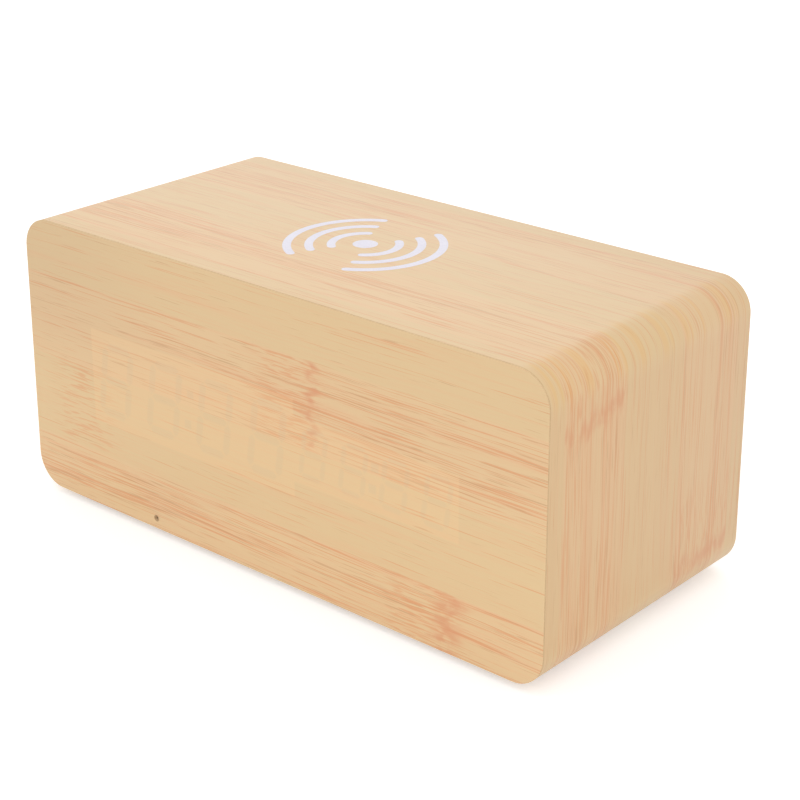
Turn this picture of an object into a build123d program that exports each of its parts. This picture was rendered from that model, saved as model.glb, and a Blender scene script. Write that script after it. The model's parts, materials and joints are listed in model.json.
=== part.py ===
from build123d import *
import math
import os

# Wooden desk clock with a wireless charging top, every piece as its own solid.
# Millimetres. X to the right seen from the front, front face at -Y, Z up, feet on z = 0.

# Case
CASE_WIDTH = 150.0
CASE_DEPTH = 70.0
CASE_HEIGHT = 66.5
CORNER_RADIUS = 7.5
FILM = 0.4
WALL = 6.0
RIM = 3.6
CAVITY_RADIUS = 16.0
REBATE_RADIUS = 3.0
FRONT_BOARD = 3.0
BACK_PANEL = 5.0
PANEL_GAP = 0.15

# Feet
FOOT_HEIGHT = 1.5
FOOT_DIAMETER = 9.0
FOOT_INSET = 12.0
FOOT_EDGE = 0.4

# Display: four large digits and four small ones, all leaning
DIGITS = 4
DISPLAY_SIDE = 21.2
LARGE_SHARE = 0.587
DIGIT_FILL = 0.655
LARGE_HEIGHT = 18.0
LARGE_STROKE = 1.9
LARGE_MARGIN = 2.25
SMALL_HEIGHT = 12.0
SMALL_STROKE = 1.3
SMALL_MARGIN = 1.5
SLANT = 8.0
SEGMENT_GAP = 0.7
DISPLAY_DROP = 0.5
GUIDE_DEPTH = 8.0
GUIDE_FLANGE = 1.5
GUIDE_REACH = 6.0
GUIDE_BOSS = 5.0
GUIDE_BOSS_SPREAD = 16.0
CELL_REAR_LENGTH = 3.0
CELL_REAR_WIDTH = 1.6
LED_LENGTH = 1.6
LED_WIDTH = 0.8
LED_HEIGHT = 0.7
COLON_SPREAD = 0.45
COLON_SIZE = 2.0
BOARD_MARGIN = 3.0
CHIP_X = 13.0
CHIP_LENGTH = 18.0
CHIP_WIDTH = 7.5
CHIP_HEIGHT = 2.3
CRYSTAL_LENGTH = 11.0
CRYSTAL_WIDTH = 4.6
CRYSTAL_HEIGHT = 3.5
CRYSTAL_SPACE = 3.0

# Circuit boards and small screws
PCB = 1.6
SMALL_HEAD = 3.8
SMALL_HEAD_HEIGHT = 1.4
SMALL_SHANK = 1.9
SMALL_BITE = 4.5
SMALL_SIDES = 8
LARGE_SIDES = 24
SCREW_GAP = 0.1
BOSS = 5.0

# Wood screws
WOOD_HEAD = 5.0
WOOD_HEAD_HEIGHT = 1.8
WOOD_SHANK = 2.6
WOOD_SIDES = 12
BACK_SCREW_LENGTH = 14.0
BACK_SCREW_EDGE = 3.6
TRAY_SCREW_LENGTH = 5.6
CROSS_LENGTH = 2.6
CROSS_WIDTH = 0.6
CROSS_DEPTH = 0.9

# Microphone
MIC_X = -34.5
MIC_HOLE = 1.6
MIC_HOLE_RISE = 2.5
MIC_DIAMETER = 6.0
MIC_HEIGHT = 2.7
MIC_GAP = 0.1
MIC_LEAD = 0.8
MIC_LEAD_PITCH = 2.0

# Control panel in the back, with buttons and the power inlet
CONTROL_WIDTH = 72.0
CONTROL_HEIGHT = 22.0
CONTROL_RADIUS = 3.0
CONTROL_WALL = 1.8
CONTROL_RECESS = 1.5
CONTROL_FLANGE = 2.0
CONTROL_REACH = 6.0
BOARD_STANDOFF = 6.0
MAIN_OVERHANG = 2.0
MAIN_BOSS_INSET = 7.0
BUTTON_DIAMETER = 8.0
BUTTON_GAP = 0.2
BUTTON_PROUD = 1.2
BUTTON_COLLAR = 1.0
BUTTON_COLLAR_REACH = 1.0
BUTTON_STEM = 4.0
BUTTON_EDGE = 0.5
BUTTON_TRAVEL = 0.5
SWITCH_SIZE = 6.0
SWITCH_BODY = 3.5
SWITCH_HEIGHT = 5.0
PLUNGER = 3.4
PLUNGER_GAP = 0.1
PLUNGER_ROOT = 0.5
BUZZER_DIAMETER = 12.0
BUZZER_HEIGHT = 8.5
SOUND_HOLE = 1.4
SOUND_RING = 3.2
USB_WIDTH = 8.94
USB_HEIGHT = 3.26
USB_WALL = 0.3
USB_DEPTH = 6.5
USB_GAP = 0.25
USB_TONGUE_WIDTH = 6.7
USB_TONGUE_HEIGHT = 0.7
USB_TONGUE_LENGTH = 5.5
COIN_DIAMETER = 20.0
COIN_HEIGHT = 3.2
COIN_GAP = 0.2
COIN_WALL = 1.4
SENSOR_DIAMETER = 2.0
SENSOR_LENGTH = 3.5

# Wireless charger under the top
COIL_TURNS = 6
COIL_RUNS = 20
COIL_MARGIN = 2.75
COIL_PITCH = 2.0
COIL_STRIP = 1.5
COIL_HEIGHT = 1.2
FERRITE_INSET = 10.0
FERRITE = 1.8
FERRITE_RADIUS = 3.0
POCKET_GAP = 0.3
CARRIER = 2.0
CARRIER_MARGIN = 3.2
CARRIER_STANDOFF = 4.0
CHARGER_SHARE = 0.7
CHARGER_BOSS_INSET = 4.0
LEAD_HOLE = 2.6
LEAD_SIZE = 1.2
DRIVER_SIZE = 6.0
DRIVER_HEIGHT = 1.0
INDUCTOR_SIZE = 7.0
INDUCTOR_HEIGHT = 3.0
CAPACITORS = 3
CAPACITOR_LENGTH = 3.2
CAPACITOR_WIDTH = 2.5
CAPACITOR_HEIGHT = 2.0
CAPACITOR_SPACE = 1.3

# Battery tray for three small round cells, let into the bottom
CELLS = 3
CELL_DIAMETER = 10.5
CELL_LENGTH = 44.5
CELL_PITCH = 11.0
CELL_GAP = 0.4
SPRING_ROOM = 5.5
TRAY_WALL = 1.6
TRAY_FLANGE = 2.4
TRAY_REACH = 5.5
TRAY_GAP = 0.2
DOOR = 1.8
DOOR_SEAT_GAP = 0.1
DOOR_GAP = 0.3
DOOR_LEDGE = 1.4
PEG_DIAMETER = 1.2
PEG_LENGTH = 1.5
PEG_GAP = 0.15
LATCH_WIDTH = 10.0
LATCH_LENGTH = 9.0
LATCH_SLIT = 0.8
NIB_WIDTH = 6.0
NIB_REACH = 0.9
NIB_HEIGHT = 0.9
GRIP_DEPTH = 0.6
CONTACT = 0.4
CONTACT_SIZE = 8.0
CONTACT_GAP = 0.1
SPRING_WIRE = 0.7
SPRING_BASE = 7.0
SPRING_TIP = 4.0
SPRING_TURNS = 2.5
SPRING_RUNS = 10
SPRING_SIDES = 4
SPRING_GAP = 0.05
SPRING_LENGTH = 4.2

# Ribbons and their sockets
RIBBON = 0.9
RIBBON_BEND = 3.0
DISPLAY_RIBBON_WIDTH = 12.0
POWER_RIBBON_WIDTH = 2.8
BATTERY_RIBBON_X = -4.0
CHARGER_RIBBON_X = -4.0
SOCKET_HEIGHT = 4.0
SOCKET_TALL = 4.5
SOCKET_WALL = 1.5

# Planes that follow from the sizes above
FRONT_Y = -CASE_DEPTH / 2
BACK_Y = CASE_DEPTH / 2
BOARD_FRONT_Y = FRONT_Y + FILM
BOARD_BACK_Y = BOARD_FRONT_Y + FRONT_BOARD
PANEL_OUTER_Y = BACK_Y - FILM
PANEL_INNER_Y = PANEL_OUTER_Y - BACK_PANEL
CASE_BOTTOM = FOOT_HEIGHT
CASE_TOP = CASE_BOTTOM + CASE_HEIGHT
CASE_MID = (CASE_BOTTOM + CASE_TOP) / 2
CAVITY_TOP = CASE_TOP - FILM - WALL
CAVITY_FLOOR = CASE_BOTTOM + FILM + WALL

DISPLAY_WIDTH = CASE_WIDTH - 2 * DISPLAY_SIDE
LARGE_PITCH = DISPLAY_WIDTH * LARGE_SHARE / DIGITS
SMALL_PITCH = DISPLAY_WIDTH * (1 - LARGE_SHARE) / DIGITS
LARGE_WIDTH = LARGE_PITCH * DIGIT_FILL
SMALL_WIDTH = SMALL_PITCH * DIGIT_FILL
DISPLAY_HEIGHT = LARGE_HEIGHT + 2 * LARGE_MARGIN
DISPLAY_Z = CASE_MID - DISPLAY_DROP
LARGE_X = -DISPLAY_WIDTH / 2 + DIGITS * LARGE_PITCH / 2
SMALL_X = DISPLAY_WIDTH / 2 - DIGITS * SMALL_PITCH / 2
GUIDE_BACK_Y = BOARD_FRONT_Y + GUIDE_DEPTH
DISPLAY_BOARD_Y = GUIDE_BACK_Y + PCB
DISPLAY_BOARD_HEIGHT = DISPLAY_HEIGHT + 2 * BOARD_MARGIN
GUIDE_BOSS_X = DISPLAY_WIDTH / 2 + GUIDE_REACH / 2
MIC_Y = (GUIDE_BACK_Y + DISPLAY_BOARD_Y) / 2

CONTROL_FACE_Y = BACK_Y - CONTROL_RECESS
CONTROL_INSIDE_Y = CONTROL_FACE_Y - CONTROL_WALL
CONTROL_FLANGE_Y = PANEL_INNER_Y - CONTROL_FLANGE
MAIN_BACK_Y = CONTROL_FLANGE_Y - BOARD_STANDOFF
MAIN_FRONT_Y = MAIN_BACK_Y - PCB
CONTROL_Z = CASE_MID
MAIN_BOSS_Z = CONTROL_HEIGHT / 2 + BOSS / 2
MAIN_HEIGHT = 2 * MAIN_BOSS_Z + BOSS
MAIN_WIDTH = CONTROL_WIDTH + 2 * MAIN_OVERHANG
MAIN_BOSS_X = MAIN_WIDTH / 2 - MAIN_BOSS_INSET
COIN_X = MAIN_WIDTH / 5
DISPLAY_RIBBON_X = -0.3 * MAIN_WIDTH
PANEL_SCREW_X = CONTROL_WIDTH / 2 + CONTROL_REACH / 2

# Buzzer, three buttons and inlet stand in one row, with even spaces between them
CONTROL_ROOM = CONTROL_WIDTH - 2 * (PANEL_GAP + CONTROL_WALL)
COLLAR = BUTTON_DIAMETER + 2 * BUTTON_COLLAR_REACH
CONTROL_SPACE = (CONTROL_ROOM - BUZZER_DIAMETER - 3 * COLLAR - USB_WIDTH) / 6
BUZZER_X = -CONTROL_ROOM / 2 + CONTROL_SPACE + BUZZER_DIAMETER / 2
USB_X = CONTROL_ROOM / 2 - CONTROL_SPACE - USB_WIDTH / 2
SET_X = BUZZER_X + BUZZER_DIAMETER / 2 + CONTROL_SPACE + COLLAR / 2
UP_X = SET_X + COLLAR + CONTROL_SPACE
DOWN_X = UP_X + COLLAR + CONTROL_SPACE
BUTTON_PLACES = (SET_X, UP_X, DOWN_X)

FERRITE_SIZE = CASE_DEPTH - 2 * FERRITE_INSET
COIL_OUTER = FERRITE_SIZE / 2 - COIL_MARGIN
COIL_INNER = COIL_OUTER - COIL_TURNS * COIL_PITCH - COIL_STRIP
CHARGER_WIDTH = FERRITE_SIZE
CHARGER_DEPTH = CHARGER_SHARE * FERRITE_SIZE
CARRIER_LOW = CAVITY_TOP - CARRIER
CARRIER_SCREW_X = FERRITE_SIZE / 2 + POCKET_GAP + CARRIER_MARGIN
CARRIER_SCREW_Y = FERRITE_SIZE / 2 - CARRIER_MARGIN
CHARGER_TOP = CARRIER_LOW - CARRIER_STANDOFF
CHARGER_LOW = CHARGER_TOP - PCB

BAY_LENGTH = CELL_LENGTH + SPRING_ROOM
BAY_WIDTH = (CELLS - 1) * CELL_PITCH + CELL_DIAMETER + 2 * CELL_GAP
MOUTH_TOP = CASE_BOTTOM + DOOR + DOOR_SEAT_GAP
CELL_Z = MOUTH_TOP + CELL_DIAMETER / 2 + CELL_GAP
BAY_TOP = CELL_Z + CELL_DIAMETER / 2 + CELL_GAP
TRAY_TOP = BAY_TOP + TRAY_WALL
TRAY_LENGTH = BAY_LENGTH + 2 * TRAY_WALL
TRAY_WIDTH = BAY_WIDTH + 2 * TRAY_WALL
MOUTH_LENGTH = BAY_LENGTH + 2 * DOOR_LEDGE
MOUTH_WIDTH = BAY_WIDTH + 2 * DOOR_LEDGE
DOOR_AXIS_X = -MOUTH_LENGTH / 2 + DOOR_GAP + DOOR / 2
DOOR_AXIS_Z = CASE_BOTTOM + DOOR / 2
TRAY_SCREW_X = TRAY_LENGTH / 2 + TRAY_REACH / 2
TRAY_SCREW_Y = TRAY_WIDTH / 3


# Helpers

def prism_y(sketch, y_low, y_high):
    """A sketch drawn in X and Z, made solid from y_low to y_high."""
    plane = Plane((0, y_high, 0), x_dir=(1, 0, 0), z_dir=(0, -1, 0))
    return extrude(plane * sketch, y_high - y_low)


def prism_z(sketch, z_low, z_high):
    """A sketch drawn in X and Y, made solid from z_low to z_high."""
    return extrude(Pos(0, 0, z_low) * sketch, z_high - z_low)


def block(x, y, z):
    """A box from three pairs of low and high values."""
    size = (x[1] - x[0], y[1] - y[0], z[1] - z[0])
    return Pos(sum(x) / 2, sum(y) / 2, sum(z) / 2) * Box(*size)


def rod_y(x, z, diameter, y_low, y_high):
    """A round rod along Y."""
    return prism_y(Pos(x, z) * Circle(diameter / 2), y_low, y_high)


def small_y(x, z, diameter, y_low, y_high, sides=SMALL_SIDES):
    """A hidden rod along Y, drawn with few sides."""
    return prism_y(Pos(x, z) * RegularPolygon(diameter / 2, sides), y_low, y_high)


def small_z(x, y, diameter, z_low, z_high):
    """A hidden rod along Z, drawn with few sides."""
    return prism_z(Pos(x, y) * RegularPolygon(diameter / 2, SMALL_SIDES), z_low, z_high)


def tapered(first, second):
    """Solid with flat sides between two outlines of as many points each."""
    count = len(first)
    sheets = [first, second]
    for n in range(count):
        m = (n + 1) % count
        sheets.append([first[n], first[m], second[m], second[n]])
    return Solid(Shell([Face(Wire.make_polygon(points)) for points in sheets]))


def ring(radius, sides, z):
    """Points of an even polygon round the Z axis."""
    return [Vector(x, y, z) for x, y in ring_places(sides, radius)]


def ring_places(count, radius):
    """Places spread evenly round a circle."""
    turns = [2 * math.pi * n / count for n in range(count)]
    return [(radius * math.cos(t), radius * math.sin(t)) for t in turns]


def profile(inset, radius):
    """The case outline seen from the front, moved in by inset."""
    outline = RectangleRounded(CASE_WIDTH - 2 * inset, CASE_HEIGHT - 2 * inset, radius)
    return Pos(0, CASE_MID) * outline


def corners(x, y):
    """The four places at plus and minus x and y."""
    return [(sx * x, sy * y) for sx in (-1, 1) for sy in (-1, 1)]


def pan_screw(length):
    """Small pan head screw, seat of the head at the origin, shank down along -Z."""
    body = small_z(0, 0, SMALL_HEAD, 0, SMALL_HEAD_HEIGHT)
    return body + small_z(0, 0, SMALL_SHANK, -length, 0)


def sunk_shape(length, grow):
    """Countersunk head and shank, top of the head at the origin, shank down along -Z."""
    shank = WOOD_SHANK / 2 + grow
    neck = -WOOD_HEAD_HEIGHT
    head = tapered(ring(WOOD_HEAD / 2 + grow, WOOD_SIDES, 0), ring(shank, WOOD_SIDES, neck))
    return Part() + head + prism_z(RegularPolygon(shank, WOOD_SIDES), -length - grow, neck)


def wood_screw(length):
    """Countersunk wood screw with a cross recess."""
    body = sunk_shape(length, 0)
    for turn in (0, 90):
        body -= Rot(0, 0, turn) * Box(CROSS_LENGTH, CROSS_WIDTH, 2 * CROSS_DEPTH)
    return body


def wood_hole(length):
    """Room for a countersunk wood screw."""
    return sunk_shape(length, SCREW_GAP)


def facing_back(x, y, z):
    """Place of something drawn along +Z that has to face the back."""
    return Pos(x, y, z) * Rot(-90, 0, 0)


def facing_front(x, y, z):
    """Place of something drawn along +Z that has to face the front."""
    return Pos(x, y, z) * Rot(90, 0, 0)


def facing_down(x, y, z):
    """Place of something drawn along +Z that has to face the floor."""
    return Pos(x, y, z) * Rot(180, 0, 0)


def ribbon(x, width, points):
    """Flat cable of one width, laid along points given in Y and Z."""
    path = FilletPolyline([(x, y, z) for y, z in points], radius=RIBBON_BEND)
    start = Plane(path @ 0, x_dir=(1, 0, 0), z_dir=path % 0)
    return sweep(start * Rectangle(width, RIBBON), path=path)


# Case

def back_screw_places():
    """Screws sit in the thick corners, past the round of the cavity."""
    reach = (CAVITY_RADIUS + BACK_SCREW_EDGE) * math.sqrt(0.5)
    x = CASE_WIDTH / 2 - FILM - WALL - CAVITY_RADIUS + reach
    z = CASE_HEIGHT / 2 - FILM - WALL - CAVITY_RADIUS + reach
    return [(sx, CASE_MID + sz) for sx, sz in corners(x, z)]


def tray_screw_places():
    """Two screws, at opposite corners of the tray flange."""
    return [(-TRAY_SCREW_X, -TRAY_SCREW_Y), (TRAY_SCREW_X, TRAY_SCREW_Y)]


def tray_outline(grow):
    """The tray flange seen from below."""
    length = TRAY_LENGTH + 2 * TRAY_REACH + 2 * grow
    width = TRAY_WIDTH + 2 * TRAY_REACH + 2 * grow
    return RectangleRounded(length, width, TRAY_REACH / 2 + grow)


def mic_channel():
    """Sound way from the pinhole in the front to the capsule pocket."""
    z = CASE_BOTTOM + MIC_HOLE_RISE
    way = rod_y(MIC_X, z, MIC_HOLE, FRONT_Y, MIC_Y)
    return way + small_z(MIC_X, MIC_Y, MIC_HOLE, z, CAVITY_FLOOR)


def case_shell():
    body = prism_y(profile(FILM, CORNER_RADIUS - FILM), BOARD_FRONT_Y, PANEL_OUTER_Y)
    body -= prism_y(profile(FILM + WALL, CAVITY_RADIUS), BOARD_FRONT_Y, PANEL_OUTER_Y)
    rebate = profile(FILM + RIM, REBATE_RADIUS)
    body -= prism_y(rebate, BOARD_FRONT_Y, BOARD_BACK_Y)
    body -= prism_y(rebate, PANEL_INNER_Y, PANEL_OUTER_Y)
    side = FERRITE_SIZE + 2 * POCKET_GAP
    pocket = RectangleRounded(side, side, FERRITE_RADIUS + POCKET_GAP)
    body -= prism_z(pocket, CAVITY_TOP, CAVITY_TOP + COIL_HEIGHT + FERRITE)
    body -= prism_z(tray_outline(TRAY_GAP), CASE_BOTTOM, CASE_BOTTOM + TRAY_FLANGE)
    tray_hole = Rectangle(TRAY_LENGTH + 2 * TRAY_GAP, TRAY_WIDTH + 2 * TRAY_GAP)
    body -= prism_z(tray_hole, CASE_BOTTOM, CAVITY_FLOOR)
    body -= mic_channel()
    body -= small_z(MIC_X, MIC_Y, MIC_DIAMETER + 2 * MIC_GAP, CAVITY_FLOOR - MIC_HEIGHT, CAVITY_FLOOR)
    for x, z in back_screw_places():
        body -= facing_back(x, BACK_Y, z) * wood_hole(BACK_SCREW_LENGTH)
    for x, y in tray_screw_places():
        body -= facing_down(x, y, CASE_BOTTOM) * wood_hole(TRAY_SCREW_LENGTH)
    for x, y in corners(CARRIER_SCREW_X, CARRIER_SCREW_Y):
        hole = SMALL_SHANK + 2 * SCREW_GAP
        body -= small_z(x, y, hole, CAVITY_TOP, CAVITY_TOP + SMALL_BITE + SCREW_GAP)
    return body


def wrap_film():
    """Film round the four sides, folded over the rear rim and cut out for the tray."""
    body = prism_y(profile(0, CORNER_RADIUS), BOARD_FRONT_Y, BACK_Y)
    body -= prism_y(profile(FILM, CORNER_RADIUS - FILM), BOARD_FRONT_Y, PANEL_OUTER_Y)
    body -= prism_y(profile(FILM + RIM, REBATE_RADIUS), PANEL_OUTER_Y, BACK_Y)
    return body - prism_z(tray_outline(TRAY_GAP), CASE_BOTTOM, CASE_BOTTOM + TRAY_FLANGE)


def front_film():
    return prism_y(profile(0, CORNER_RADIUS), FRONT_Y, BOARD_FRONT_Y) - mic_channel()


def panel_outline():
    inset = FILM + RIM + PANEL_GAP
    return profile(inset, REBATE_RADIUS - PANEL_GAP)


def control_outline(grow):
    width = CONTROL_WIDTH + 2 * grow
    outline = RectangleRounded(width, CONTROL_HEIGHT + 2 * grow, CONTROL_RADIUS + grow)
    return Pos(0, CONTROL_Z) * outline


def rear_sheet(y_low, y_high):
    """The back panel or its film: one outline with window and screw holes."""
    body = prism_y(panel_outline() - control_outline(0), y_low, y_high)
    for x, z in back_screw_places():
        body -= facing_back(x, BACK_Y, z) * wood_hole(BACK_SCREW_LENGTH)
    return body


def back_panel():
    body = rear_sheet(PANEL_INNER_Y, PANEL_OUTER_Y)
    end = PANEL_INNER_Y + SMALL_BITE - CONTROL_FLANGE + SCREW_GAP
    for x in (-PANEL_SCREW_X, PANEL_SCREW_X):
        body -= small_y(x, CONTROL_Z, SMALL_SHANK + 2 * SCREW_GAP, PANEL_INNER_Y, end)
    return body


def back_film():
    return rear_sheet(PANEL_OUTER_Y, BACK_Y)


def back_screws():
    screw = wood_screw(BACK_SCREW_LENGTH)
    return [facing_back(x, BACK_Y, z) * screw for x, z in back_screw_places()]


def feet():
    foot = prism_z(RegularPolygon(FOOT_DIAMETER / 2, LARGE_SIDES), 0, FOOT_HEIGHT)
    foot = chamfer(foot.edges().group_by(Axis.Z)[0], FOOT_EDGE)
    places = corners(CASE_WIDTH / 2 - FOOT_INSET, CASE_DEPTH / 2 - FOOT_INSET)
    return [Pos(x, y, 0) * foot for x, y in places]


# Display

def window_outline(grow):
    """Large window for the time, smaller one beside it."""
    large = Rectangle(DIGITS * LARGE_PITCH + 2 * grow, DISPLAY_HEIGHT + 2 * grow)
    small_height = SMALL_HEIGHT + 2 * SMALL_MARGIN
    small = Rectangle(DIGITS * SMALL_PITCH + 2 * grow, small_height + 2 * grow)
    return Pos(LARGE_X, DISPLAY_Z) * large + Pos(SMALL_X, DISPLAY_Z) * small


def front_board():
    return prism_y(panel_outline() - window_outline(PANEL_GAP), BOARD_FRONT_Y, BOARD_BACK_Y)


def bar(x, z, turn, length, width, y):
    """Points of a bar with pointed ends, the shape of one lit segment."""
    tip = length / 2
    neck = tip - width / 2
    side = width / 2
    outline = [(-tip, 0), (-neck, -side), (neck, -side), (tip, 0), (neck, side), (-neck, side)]
    place = Pos(x, y, DISPLAY_Z + z) * Rot(0, -turn, 0)
    return [(place * Pos(along, 0, across)).position for along, across in outline]


def digit_segments(middle_x, height, width, stroke):
    """Centre, turn and length of the seven segments of one leaning digit."""
    lean = math.tan(math.radians(SLANT))
    half = (height - stroke) / 2
    across = width - stroke
    segments = [(middle_x + z * lean, z, 0, across - SEGMENT_GAP) for z in (-half, 0, half)]
    upright = half / math.cos(math.radians(SLANT)) - SEGMENT_GAP
    for z in (-half / 2, half / 2):
        for x in (-across / 2, across / 2):
            segments.append((middle_x + x + z * lean, z, 90 - SLANT, upright))
    return segments


def digit_rows():
    """Digit middles and sizes of both rows, from left to right."""
    rows = []
    for x, pitch, height, width, stroke in (
        (LARGE_X, LARGE_PITCH, LARGE_HEIGHT, LARGE_WIDTH, LARGE_STROKE),
        (SMALL_X, SMALL_PITCH, SMALL_HEIGHT, SMALL_WIDTH, SMALL_STROKE),
    ):
        middles = [x + (n - (DIGITS - 1) / 2) * pitch for n in range(DIGITS)]
        rows.append((x, middles, height, width, stroke))
    return rows


def colon_dots():
    """Centre and size of the two dots in the middle of each row."""
    lean = math.tan(math.radians(SLANT))
    dots = []
    for x, middles, height, width, stroke in digit_rows():
        for z in (-COLON_SPREAD * height / 2, COLON_SPREAD * height / 2):
            dots.append((x + z * lean, z, max(stroke, COLON_SIZE)))
    return dots


def light_cells():
    """Tapered wells, each from one small lamp to one segment or dot."""
    cells = []
    for x, middles, height, width, stroke in digit_rows():
        for middle in middles:
            for sx, sz, turn, length in digit_segments(middle, height, width, stroke):
                shown = bar(sx, sz, turn, length, stroke, BOARD_FRONT_Y)
                lamp = bar(sx, sz, turn, CELL_REAR_LENGTH, CELL_REAR_WIDTH, GUIDE_BACK_Y)
                cells.append(tapered(shown, lamp))
    for x, z, size in colon_dots():
        well = Pos(x, DISPLAY_Z + z) * Rectangle(size, size)
        cells.append(prism_y(well, BOARD_FRONT_Y, GUIDE_BACK_Y))
    return cells


def guide_boss_places():
    return corners(GUIDE_BOSS_X, GUIDE_BOSS_SPREAD / 2)


def light_guide():
    """White block behind the front film, one well for each segment."""
    body = prism_y(window_outline(0), BOARD_FRONT_Y, GUIDE_BACK_Y)
    flange = Rectangle(DISPLAY_WIDTH + 2 * GUIDE_REACH, DISPLAY_HEIGHT + 2 * BOARD_MARGIN)
    body += prism_y(Pos(0, DISPLAY_Z) * flange, BOARD_BACK_Y, BOARD_BACK_Y + GUIDE_FLANGE)
    for x, z in guide_boss_places():
        body += small_y(x, DISPLAY_Z + z, GUIDE_BOSS, BOARD_BACK_Y, GUIDE_BACK_Y)
    for x, z in guide_boss_places():
        hole = SMALL_SHANK + 2 * SCREW_GAP
        low = GUIDE_BACK_Y - SMALL_BITE - SCREW_GAP
        body -= small_y(x, DISPLAY_Z + z, hole, low, GUIDE_BACK_Y)
    return body - light_cells()


def display_board():
    sheet = Rectangle(DISPLAY_WIDTH + 2 * GUIDE_REACH, DISPLAY_BOARD_HEIGHT)
    for x, z in guide_boss_places():
        sheet -= Pos(x, z) * RegularPolygon(SMALL_SHANK / 2 + SCREW_GAP, SMALL_SIDES)
    return prism_y(Pos(0, DISPLAY_Z) * sheet, GUIDE_BACK_Y, DISPLAY_BOARD_Y)


def display_screws():
    screw = pan_screw(PCB + SMALL_BITE)
    return [
        facing_back(x, DISPLAY_BOARD_Y, DISPLAY_Z + z) * screw
        for x, z in guide_boss_places()
    ]


def segment_leds():
    """One lamp at the foot of each well."""
    places = [(x, z, 0) for x, z, diameter in colon_dots()]
    for x, middles, height, width, stroke in digit_rows():
        for middle in middles:
            for sx, sz, turn, length in digit_segments(middle, height, width, stroke):
                places.append((sx, sz, turn))
    lamp = Box(LED_LENGTH, LED_WIDTH, LED_HEIGHT)
    y = GUIDE_BACK_Y - LED_HEIGHT / 2
    return [facing_front(x, y, DISPLAY_Z + z) * Rot(0, 0, turn) * lamp for x, z, turn in places]


def clock_chip():
    chip = Pos(CHIP_X, DISPLAY_Z) * Rectangle(CHIP_LENGTH, CHIP_WIDTH)
    return prism_y(chip, DISPLAY_BOARD_Y, DISPLAY_BOARD_Y + CHIP_HEIGHT)


def crystal():
    """Small can that gives the clock its beat."""
    x = CHIP_X + (CHIP_LENGTH + CRYSTAL_LENGTH) / 2 + CRYSTAL_SPACE
    can = Pos(x, DISPLAY_Z) * SlotOverall(CRYSTAL_LENGTH, CRYSTAL_WIDTH)
    return prism_y(can, DISPLAY_BOARD_Y, DISPLAY_BOARD_Y + CRYSTAL_HEIGHT)


# Microphone

def microphone():
    return small_z(MIC_X, MIC_Y, MIC_DIAMETER, CAVITY_FLOOR - MIC_HEIGHT, CAVITY_FLOOR)


def microphone_leads():
    top = DISPLAY_Z - DISPLAY_BOARD_HEIGHT / 2
    places = (MIC_X - MIC_LEAD_PITCH / 2, MIC_X + MIC_LEAD_PITCH / 2)
    return [small_z(x, MIC_Y, MIC_LEAD, CAVITY_FLOOR, top) for x in places]


# Controls

def main_boss_places():
    return [(x, CONTROL_Z + z) for x, z in corners(MAIN_BOSS_X, MAIN_BOSS_Z)]


def control_panel():
    """Black moulding in the back: face with holes, flange behind the panel, four bosses."""
    body = prism_y(control_outline(-PANEL_GAP), CONTROL_FLANGE_Y, CONTROL_FACE_Y)
    body += prism_y(control_outline(CONTROL_REACH), CONTROL_FLANGE_Y, PANEL_INNER_Y)
    for x, z in main_boss_places():
        body += small_y(x, z, BOSS, MAIN_BACK_Y, CONTROL_FLANGE_Y)
    hollow = control_outline(-PANEL_GAP - CONTROL_WALL)
    body -= prism_y(hollow, CONTROL_FLANGE_Y, CONTROL_INSIDE_Y)
    for x in BUTTON_PLACES:
        hole = BUTTON_DIAMETER + 2 * BUTTON_GAP
        body -= rod_y(x, CONTROL_Z, hole, CONTROL_INSIDE_Y, CONTROL_FACE_Y)
    slot = Pos(USB_X, CONTROL_Z) * SlotOverall(USB_WIDTH + 2 * USB_GAP, USB_HEIGHT + 2 * USB_GAP)
    body -= prism_y(slot, CONTROL_INSIDE_Y, CONTROL_FACE_Y)
    for x, z in [(0, 0)] + ring_places(6, SOUND_RING):
        body -= small_y(BUZZER_X + x, CONTROL_Z + z, SOUND_HOLE, CONTROL_INSIDE_Y, CONTROL_FACE_Y)
    hole = SMALL_SHANK + 2 * SCREW_GAP
    for x in (-PANEL_SCREW_X, PANEL_SCREW_X):
        body -= small_y(x, CONTROL_Z, hole, CONTROL_FLANGE_Y, PANEL_INNER_Y)
    for x, z in main_boss_places():
        body -= small_y(x, z, hole, MAIN_BACK_Y, MAIN_BACK_Y + SMALL_BITE + SCREW_GAP)
    return body


def panel_screws():
    screw = pan_screw(SMALL_BITE)
    places = (-PANEL_SCREW_X, PANEL_SCREW_X)
    return [facing_front(x, CONTROL_FLANGE_Y, CONTROL_Z) * screw for x in places]


def button(x):
    """Round cap with a collar inside the panel and a stem down to its switch."""
    collar_back = CONTROL_INSIDE_Y - BUTTON_GAP
    collar_front = collar_back - BUTTON_COLLAR
    cap = rod_y(x, CONTROL_Z, BUTTON_DIAMETER, collar_front, CONTROL_FACE_Y + BUTTON_PROUD)
    cap = chamfer(cap.edges().group_by(Axis.Y)[-1], BUTTON_EDGE)
    cap += small_y(x, CONTROL_Z, COLLAR, collar_front, collar_back)
    return cap + small_y(x, CONTROL_Z, BUTTON_STEM, MAIN_BACK_Y + SWITCH_HEIGHT, collar_front)


def plunger(x):
    low = MAIN_BACK_Y + SWITCH_BODY - PLUNGER_ROOT
    return small_y(x, CONTROL_Z, PLUNGER, low, MAIN_BACK_Y + SWITCH_HEIGHT)


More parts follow.
